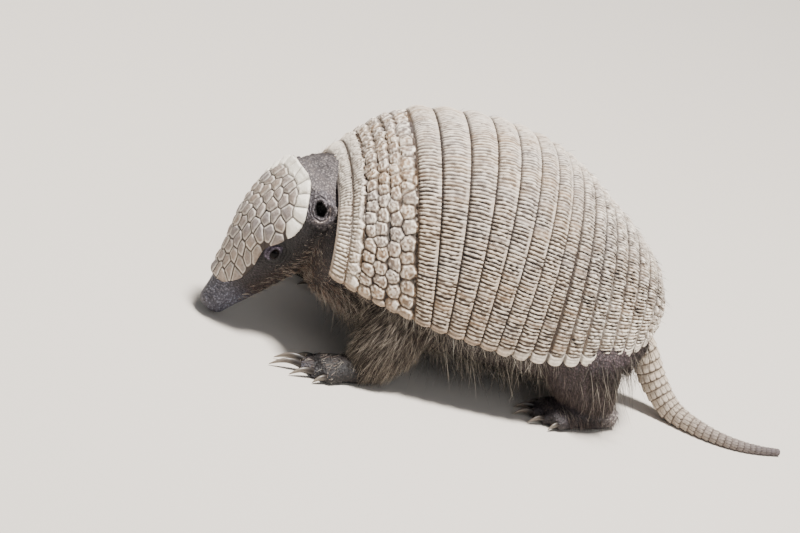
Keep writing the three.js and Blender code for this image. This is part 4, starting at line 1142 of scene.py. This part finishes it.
def claws():
    """Five curved, tapering claws to a foot, each rooted inside its toe."""
    for name, (side, _, *foot) in LEGS.items():
        kind = name.split("_")[0]
        points, quads, fans, along, start = [], [], [], [], 0
        radius, rise = CLAW_RADIUS[kind], TOE_RADIUS[kind] * 0.95
        for root, direction, order in toes(side, *foot):
            # the claw starts 1.2 mm back in the toe and is 1.8 mm longer than what shows
            reach, length = TOE_LENGTH[kind][order] - 1.2, CLAW_LENGTH[kind][order] + 1.8
            t = np.linspace(0, 1, 5)
            arch = (rise + 0.2) * (1 - t) + 0.75 * t + np.sin(np.pi * t) * length * 0.14
            knots = root + direction * (reach + length * t)[:, None] + Z * arch[:, None]
            across = np.array([direction[1], -direction[0], 0.0])
            rings = tube(knots, radius * np.array([0.80, 0.76, 0.62, 0.40, 0.10]),
                         radius * np.array([1.0, 0.95, 0.80, 0.52, 0.12]), 16, 12, across)
            rings[..., 2] = np.maximum(rings[..., 2], 0.05)
            p, (q, f) = closed(rings)
            points.append(p)
            quads.append(q + start)
            fans.append(f + start)
            along.append(np.concatenate([np.repeat(np.linspace(0, 1, 17), 12), [0, 1]]))
            start += len(p)
        made = piece("claws_" + name, np.concatenate(points), [np.concatenate(quads), np.concatenate(fans)],
                     {"along": np.concatenate(along)})
        fit(made, "claw", CLAW, *[f"claw_{name}_{i}" for i in range(1, 6)])


# ---- coat --------------------------------------------------------------------------------------------------

def scatter(mesh, count, share, seed):
    """Points spread at random over the skin's faces by area and share, with the skin's directions there."""
    mesh.calc_loop_triangles()
    tris = np.empty(len(mesh.loop_triangles) * 3, np.int32)
    mesh.loop_triangles.foreach_get("vertices", tris)
    tris = tris.reshape(-1, 3)
    p, out = places(mesh)
    a, b, c = (p[corner] for corner in tris.T)
    total = np.cumsum(np.linalg.norm(np.cross(b - a, c - a), axis=1) * share(p)[tris].mean(1))
    draw = np.random.default_rng(seed)
    pick = np.searchsorted(total, draw.random(count) * total[-1])
    u, v = draw.random((2, count))
    fold = u + v > 1
    u, v = np.where(fold, 1 - u, u), np.where(fold, 1 - v, v)
    w = np.stack([1 - u - v, u, v], -1)[..., None]
    return (p[tris[pick]] * w).sum(1), unit((out[tris[pick]] * w).sum(1))


PATCH = 0.003     # width of one lock's patch on the coat's map


def island(number, u, v):
    """A place on the coat's map: one of sixteen squares, each the unwrap of one part of the body."""
    return np.stack([(number % 4 + 0.03 + 0.94 * np.clip(u, 0, 1)) / 4,
                     (number // 4 + 0.03 + 0.94 * np.clip(v, 0, 1)) / 4], -1)


def locks(name, roots, start, turn, length, width, colours, uv, seed, rings):
    """Thin tapering locks: each starts along one direction and bends by its turn, with a flat three-sided
    section that narrows to a point; colour runs from root to tip. None reaches the floor."""
    count, flat = len(roots), 0.6           # flat: the section's thickness for its width
    length = np.minimum(length, 0.8 * roots[:, 2] + 0.4)
    draw = np.random.default_rng(seed)
    t = np.linspace(0, 1, rings + 1)[:-1]
    middle = roots[:, None] + length[:, None, None] * (start[:, None] * t[None, :, None]
                                                       + turn[:, None] * (t**2)[None, :, None])
    tip = roots + length[:, None] * (start + turn)
    middle[..., 2], tip[:, 2] = np.maximum(middle[..., 2], 0.5), np.maximum(tip[:, 2], 0.3)
    side = unit(np.cross(start, unit(draw.normal(size=(count, 3)))))
    over = np.cross(unit(start), side)
    spin = 2 * np.pi * np.arange(3) / 3
    taper = (1 - t**1.5)[None, :, None, None] * width * 0.5
    section = side[:, None] * np.cos(spin)[None, :, None]
    section = section + over[:, None] * (flat * np.sin(spin))[None, :, None]
    body = middle[:, :, None] + section[:, None] * taper
    points = np.concatenate([body.reshape(count, -1, 3), tip[:, None]], 1)
    per = rings * 3 + 1
    last = (rings - 1) * 3
    tris = np.array([[last, last + 1, per - 1], [last + 1, last + 2, per - 1],
                     [last + 2, last, per - 1], [0, 2, 1]])
    offset = (np.arange(count) * per)[:, None, None]
    faces = [(g[None] + offset).reshape(-1, g.shape[1]) for g in (ring_faces(rings, 3), tris)]
    along = np.tile(np.concatenate([np.repeat(t, 3), [1.0]]), (count, 1))
    colour = colours[0][:, None] * (1 - along[..., None]) + colours[1][:, None] * along[..., None]
    colour = np.concatenate([colour, np.ones((count, per, 1))], -1)
    made = piece(name, points.reshape(-1, 3), faces, colours={"hair": colour})
    around = np.tile(np.concatenate([np.tile([0.0, 0.5, 1.0], rings), [0.5]]), (count, 1))
    patch = uv[:, None] + PATCH * (np.stack([around, along], -1) - 0.5)
    layer = made.data.uv_layers.new(name="OFBake")
    corner = np.empty(len(made.data.loops), np.int32)
    made.data.loops.foreach_get("vertex_index", corner)
    layer.data.foreach_set("uv", patch.reshape(-1, 2)[corner].astype(np.float32).ravel())
    return fit(made, "leg_fur", FUR)


def along_skin(out, lie, lift):
    """Direction of hair that lies along the skin one way and stands off it by a share."""
    flat = unit(lie - out * (lie * out).sum(-1, keepdims=True))
    return unit(flat * (1 - lift) + out * lift)


def round_path(points, knots):
    """Place on the unwrap of a part, along its middle line and round it, both from 0 to 1, and the distance
    from that line in millimetres."""
    middle, along = path(knots, 60)[:2]
    far = np.linalg.norm(points[:, None] - middle[None], axis=-1)
    best = far.argmin(1)
    side = unit(np.cross(along, [0.13, 0.21, 0.97]))
    over = np.cross(along, side)
    d = points - middle[best]
    turn = np.arctan2((d * over[best]).sum(-1), (d * side[best]).sum(-1)) / (2 * np.pi) + 0.5
    return best / 60.0, turn, far[np.arange(len(points)), best]


def on_map(number, roots, knots):
    """Places of roots on the coat's map, by the unwrap of their part round its middle line."""
    return island(number, *round_path(roots, knots)[:2])


def shades(count, seed, dark, pale, rare=1.3, spread=0.25):
    """A colour for each lock between two; the higher the power, the rarer the pale ones."""
    draw = np.random.default_rng(seed)
    share = (draw.random(count) ** rare)[:, None]
    colour = np.array(linear(dark)[:3]) * (1 - share) + np.array(linear(pale)[:3]) * share
    return np.clip(colour * (1 + spread * (2 * draw.random((count, 1)) - 1)), 0, 1)


def leg_coat(mesh, name, number):
    """Hair of one leg: long and pale-tipped on a fore leg, short and dark on a hind leg; it hangs down."""
    side, knots, kind = LEGS[name][0], leg_line(name), name.split("_")[0]
    fore = kind == "front"
    count, rings, width, lift = (5600, 4, 0.42, 0.26) if fore else (6800, 3, 0.36, 0.16)
    reach, lowest, base = (1.12, 0.02, 0.35) if fore else (1.30, -1.0, 1.0)

    def share(p):
        along, _, far = round_path(p, knots)
        close = (far < smooth(LEG_ALONG[kind], along * 3) * reach) * (along > lowest)
        close = close * (over_margin(p)[1] < 8)
        return close * (1 - 0.85 * step(0.90, 1.0, along)) * (base + (1 - base) * step(0.1, 0.4, along))

    roots, out = scatter(mesh, count, share, 100 + number)
    along = round_path(roots, knots)[0]
    draw = np.random.default_rng(200 + number)
    lie = np.array([0.10 * side, -0.30, -1.0]) if fore else np.array([0.05 * side, 0.30, -1.0])
    lie = lie + 0.28 * draw.normal(size=(count, 3))
    clump = noise(roots, 4.0, 70 + number)[:, None] * np.array([0.2, 0.4, 0.0])
    start = along_skin(out, lie + clump, lift)
    bend = np.array([0.0, -0.10 if fore else 0.05, -0.34]) + 0.08 * draw.normal(size=(count, 3))
    if fore:
        long = 4.0 + 5.5 * step(0.15, 0.6, along) * (1 - 0.5 * step(0.85, 1, along))
        root = shades(count, 300 + number, "#0c0807", "#33261f")
        tip = shades(count, 310 + number, "#221915", "#dccebc", 2.5)
    else:
        long = 2.6 + 2.0 * step(0.2, 0.7, along) * (1 - 0.6 * step(0.85, 1, along))
        root = shades(count, 300 + number, "#1a1516", "#362c2c")
        tip = shades(count, 310 + number, "#2e2626", "#94857e", 2.4)
    long = np.minimum(long * (0.65 + 0.6 * draw.random(count)), np.maximum(1.2, roots[:, 2] * 0.9))
    locks(f"coat_of_{name}_leg", roots - out * 0.3, start, bend, long, width, (root, tip),
          on_map(number, roots, knots), 400 + number, rings)


def belly_coat(mesh):
    """Long sparse hair of the belly and flanks, curving out from under the shell and hanging down."""
    def share(p):
        row, high = over_margin(p)
        limbs = np.ones(len(p))
        for name in LEGS:
            along, _, far = round_path(p, leg_line(name))
            limbs *= far > smooth(LEG_ALONG[name.split("_")[0]], along * 3) * 0.95
        limbs = np.maximum(limbs, (p[:, 1] > 44) * (p[:, 2] > 26))
        return limbs * (row > -5.5) * (high < 2.5) * (p[:, 2] > 8) * (0.5 + 0.5 * step(-8, 0, high))

    count = 3600
    roots, out = scatter(mesh, count, share, 120)
    draw = np.random.default_rng(220)
    outer = step(24, 44, np.abs(roots[:, 0]))
    lie = np.stack([0.35 * np.sign(roots[:, 0]) * outer, 0.35 + 0 * outer, -0.5 - 0.4 * outer], -1)
    start = along_skin(out, lie + 0.35 * draw.normal(size=(count, 3)), 0.0)
    start = unit(start + out * (0.25 + 0.45 * draw.random((count, 1))))
    bend = np.array([0.0, 0.12, -0.55]) + 0.16 * draw.normal(size=(count, 3))
    long = (6.0 + 9.0 * draw.random(count) ** 2) * (0.75 + 0.5 * outer)
    long = np.minimum(long, np.maximum(2.0, roots[:, 2] * 0.75))
    # the belly's hair is mostly near black, as painted shade under the shell, with a few pale tips of its own
    colours = shades(count, 320, "#0e0a09", "#261d19"), shades(count, 321, "#241c18", "#efe3d2", 2.8)
    locks("coat_of_belly", roots - out * 0.4, start, bend, long, 0.34, colours,
          on_map(4, roots, TRUNK_LINE), 420, 4)


def fringe(side, number):
    """Long pale hairs that hang from under the margin of the shell, between the fore and hind legs."""
    count = 1200
    draw = np.random.default_rng(230 + number)
    row = draw.uniform(-3.5, 11.5, count)
    row = np.floor(row) + 0.5 + (row - np.floor(row) - 0.5) * 0.7
    angle = side * (88.5 - 3 * draw.random(count))
    out = back_normal(row, angle)
    roots = back_point(row, angle) - out * (2.6 + 1.2 * draw.random((count, 1)))
    roots[:, 2] += 1.5
    down = -np.ones(count)
    start = unit(np.stack([side * (0.35 + 0.3 * draw.random(count)), 0.25 * draw.normal(size=count),
                           0.8 * down], -1))
    bend = np.stack([-side * 0.15 + 0.2 * draw.normal(size=count), 0.22 + 0.25 * draw.normal(size=count),
                     0.35 * down], -1)
    long = (5.0 + 9.0 * draw.random(count) ** 2.2) * (0.5 + 0.5 * step(-3.5, 0, row) * (1 - step(7, 10, row)))
    # dark roots and tips as painted shade under the shell's margin; the rare pale tips are the hair's own
    root = shades(count, 330 + number, "#1d1613", "#6b5b4b", 1.6)
    tip = shades(count, 331 + number, "#2c231e", "#fff4e4", 1.7)
    margin = "left" if side > 0 else "right"
    locks(f"fringe_under_{margin}_margin", roots, start, bend, long, 0.26, (root, tip),
          on_map(number, roots, TRUNK_LINE), 430 + number, 5)


def head_coat(mesh):
    """Hair of the neck, the cheeks and the throat: fine, swept back, longest behind the cheek."""
    def share(p):
        head = to_head(p)
        x, _, z = head.T
        nape = (x > -26) & (x < 2) & (np.abs(z) < 26) & (over_margin(p)[0] < -4.0)
        cheek = (x > -2) & (x < 40) & (z < 2.5) & (p[:, 1] < -60)
        jaw = (x >= 40) & (x < 60) & (z < -3) & (p[:, 1] < -60)
        bare = (from_place(head, EYE_PLACE) < 6.5) | (from_place(head, EAR_HOLE) < 6.5)
        return (0.35 * nape + 1.0 * cheek + 0.5 * jaw) * ~bare

    count = 7400
    roots, out = scatter(mesh, count, share, 130)
    x, _, z = to_head(roots).T
    draw = np.random.default_rng(240)
    lie = np.array([-1.0, 0.0, -0.25]) @ HEAD_AXES + 0.22 * draw.normal(size=(count, 3))
    throat = (1 - step(26, 38, x)) * (1 - step(-15, -8, z))
    start = along_skin(out, lie, 0.0) + out * (0.18 + 0.25 * throat * draw.random(count))[:, None]
    bend = np.array([0.0, 0.05, -0.2]) - Z * (0.25 * throat)[:, None] + 0.12 * draw.normal(size=(count, 3))
    long = 1.7 + 9.0 * throat * draw.random(count) + 1.6 * (z < -3)
    long = long * (0.6 + 0.8 * draw.random(count))
    colours = shades(count, 340, "#1a120f", "#6b4433"), shades(count, 341, "#4a3128", "#fbeedd", 1.0)
    line = in_head([(-26, 0, 0), (6, 0, 0), (40, 0, 0), (72, 0, 0)])
    locks("coat_of_cheeks_and_neck", roots - out * 0.25, start, bend, long, 0.28, colours,
          on_map(7, roots, line), 440, 3)


def paw_coat(mesh):
    """Short bristles on the tops of the feet, lying forward over the toes."""
    def share(p):
        x, y, z = p.T
        return (z < 11) * (z > 2.2) * (y > -78) * (y < 84) * (np.abs(x) > 20)

    count = 3000
    roots, out = scatter(mesh, count, share, 140)
    draw = np.random.default_rng(250)
    start = along_skin(out, np.array([0.0, -1.0, -0.25]) + 0.2 * draw.normal(size=(count, 3)), 0.15)
    bend = np.array([0.0, -0.05, -0.25]) + 0.08 * draw.normal(size=(count, 3))
    long = np.minimum((1.4 + 2.2 * draw.random(count)), np.maximum(0.8, roots[:, 2] * 0.8))
    colours = shades(count, 350, "#0d0a0b", "#201a1b"), shades(count, 351, "#1a1516", "#7d7068", 2.4)
    uv = island(8, (roots[:, 1] + 80) / 170, (roots[:, 0] + 65) / 130)
    locks("bristles_of_paws", roots - out * 0.2, start, bend, long, 0.26, colours, uv, 450, 3)


def band_hairs():
    """Sparse dark hairs that come out from under the rear lips of the bands, and off the rump."""
    count = 1900
    draw = np.random.default_rng(260)
    row = draw.integers(0, 16, count) + 1.02
    angle = 80 * (2 * draw.random(count) - 1)
    angle = angle * (0.55 + 0.45 * draw.random(count))
    out = back_normal(row, angle)
    roots = back_point(row, angle) - out * 0.6
    back = unit(back_point(row + 0.1, angle) - back_point(row, angle))
    start = unit(back + out * (0.25 + 0.5 * draw.random((count, 1))) + 0.18 * draw.normal(size=(count, 3)))
    bend = 0.10 * draw.normal(size=(count, 3)) + np.array([0, 0.1, -0.12])
    long = 2.4 + 5.0 * draw.random(count) ** 2
    colours = shades(count, 360, "#150f0d", "#33261f"), shades(count, 361, "#241a16", "#7d6a5a", 2.0)
    locks("hairs_between_the_bands", roots, start, bend, long, 0.22, colours,
          on_map(9, roots, TRUNK_LINE), 460, 3)


def tail_hairs():
    """A few short hairs from under the rear edges of the tail's rings."""
    count, steps = 700, 300
    draw = np.random.default_rng(270)
    middle, along, at = path(TAIL_PATH, steps)
    pick = (draw.random(count) * 290).astype(int) + 4
    side = unit(X - along * (along @ X)[:, None])
    over = np.cross(along, side)
    turn = draw.uniform(-0.25, math.pi + 0.25, count)
    out = side[pick] * np.cos(turn)[:, None] - over[pick] * np.sin(turn)[:, None]
    out = np.where((out[:, 2:] < -0.3), -out, out)
    roots = middle[pick] + out * (smooth(TAIL_RADIUS, at)[pick] - 0.2)[:, None]
    start = unit(along[pick] + out * (0.15 + 0.25 * draw.random((count, 1))))
    bend = 0.08 * draw.normal(size=(count, 3))
    long = (1.2 + 1.6 * draw.random(count)) * np.interp(pick, [0, steps], [1.1, 0.7])
    colours = shades(count, 370, "#4a3d35", "#77675a"), shades(count, 371, "#8a7b6d", "#c9bbab")
    roots[:, 2] = np.maximum(roots[:, 2], 0.4)
    uv = island(10, pick / steps, turn / 6.3 + 0.2)
    locks("hairs_of_tail", roots, start, bend, long, 0.14, colours, uv, 470, 3)


# ---- camera, floor and light -------------------------------------------------------------------------------

def stand(name, data, place, right, up, back):
    """Puts a camera or a lamp at a place in metres, turned by its right, up and back directions."""
    made = bpy.data.objects.new(name, data)
    turn = Matrix([list(v) for v in np.stack([right, up, back], 1)]).to_4x4()
    made.matrix_world = Matrix.Translation(place) @ turn
    bpy.context.scene.collection.objects.link(made)
    return made


def camera():
    """A long lens low on the animal's left, rolled with the slope that it stands on."""
    turn, rise, roll = math.radians(13.5), math.radians(21), math.radians(19)
    distance_mm = 2500
    past_right, past_up = 35.09, 4.39       # how far past the animal's middle the lens looks
    back = np.array([math.cos(rise) * math.cos(turn), -math.cos(rise) * math.sin(turn), math.sin(rise)])
    level = unit(np.cross(-back, Z))
    up = np.cross(level, -back)
    right = math.cos(roll) * level + math.sin(roll) * up
    up = -math.sin(roll) * level + math.cos(roll) * up
    aim = np.array([0.0, 0.0, 50.0]) - past_right * right - past_up * up
    data = bpy.data.cameras.new("camera")
    data.lens, data.sensor_width = 256.5, 36.0
    data.clip_start, data.clip_end = 0.1, 50.0
    place = (aim + distance_mm * back + SHIFT) * 0.001
    bpy.context.scene.camera = stand("camera", data, place, right, up, back)


def lamp(name, place, aim, size, watts, colour):
    """A soft square light."""
    data = bpy.data.lights.new(name, "AREA")
    data.size, data.energy, data.color = size, watts, colour
    toward = unit(np.array(aim, float) - np.array(place, float))
    side = unit(np.cross(toward, Z))
    stand(name, data, place, side, np.cross(side, toward), -toward).visible_camera = False


camera()
floor = piece("floor", [[-6000, -6000, 0], [6000, -6000, 0], [6000, 6000, 0], [-6000, 6000, 0]],
              np.array([[0, 1, 2, 3]]))
floor.data.materials.append(paper())
lamp("key", (0.15, 0.10, 1.6), (0, 0, 0.05), 0.25, 84, (1.0, 0.965, 0.92))
lamp("fill", (1.6, 0.5, 0.9), (0, 0, 0.05), 1.4, 8, (0.95, 0.97, 1.0))
world = bpy.data.worlds.new("room")
world.use_nodes = True
room = world.node_tree.nodes["Background"].inputs
room["Color"].default_value, room["Strength"].default_value = linear("#e4e8ee"), 0.32
bpy.context.scene.world = world

# ---- the animal --------------------------------------------------------------------------------------------

# node, first and last row, points along the plate and from margin to margin, overlap of its rear lip
PLATES = [("neck_band_front", -6, -5, 26, 560, 0.10), ("neck_band_rear", -5, -4, 26, 560, 0.10),
          ("shoulder_shield", -4, 0, 96, 560, 0.10)]
PLATES += [(f"band_{i}", i - 1, i, 26, 560, 0.10) for i in range(1, BAND_COUNT + 1)]
PLATES += [("hip_shield", BAND_COUNT, 17, 170, 500, 0.0)]
for plate, first, last, rows, columns, lip in PLATES:
    shell_plate(plate, first, last - ROW_GAP, rows, columns, lip)
head_shield()
tail()
eyes()
claws()
body = skin().data
for number, name in enumerate(LEGS):
    leg_coat(body, name, number)
belly_coat(body)
fringe(1, 5)
fringe(-1, 6)
head_coat(body)
paw_coat(body)
band_hairs()
tail_hairs()
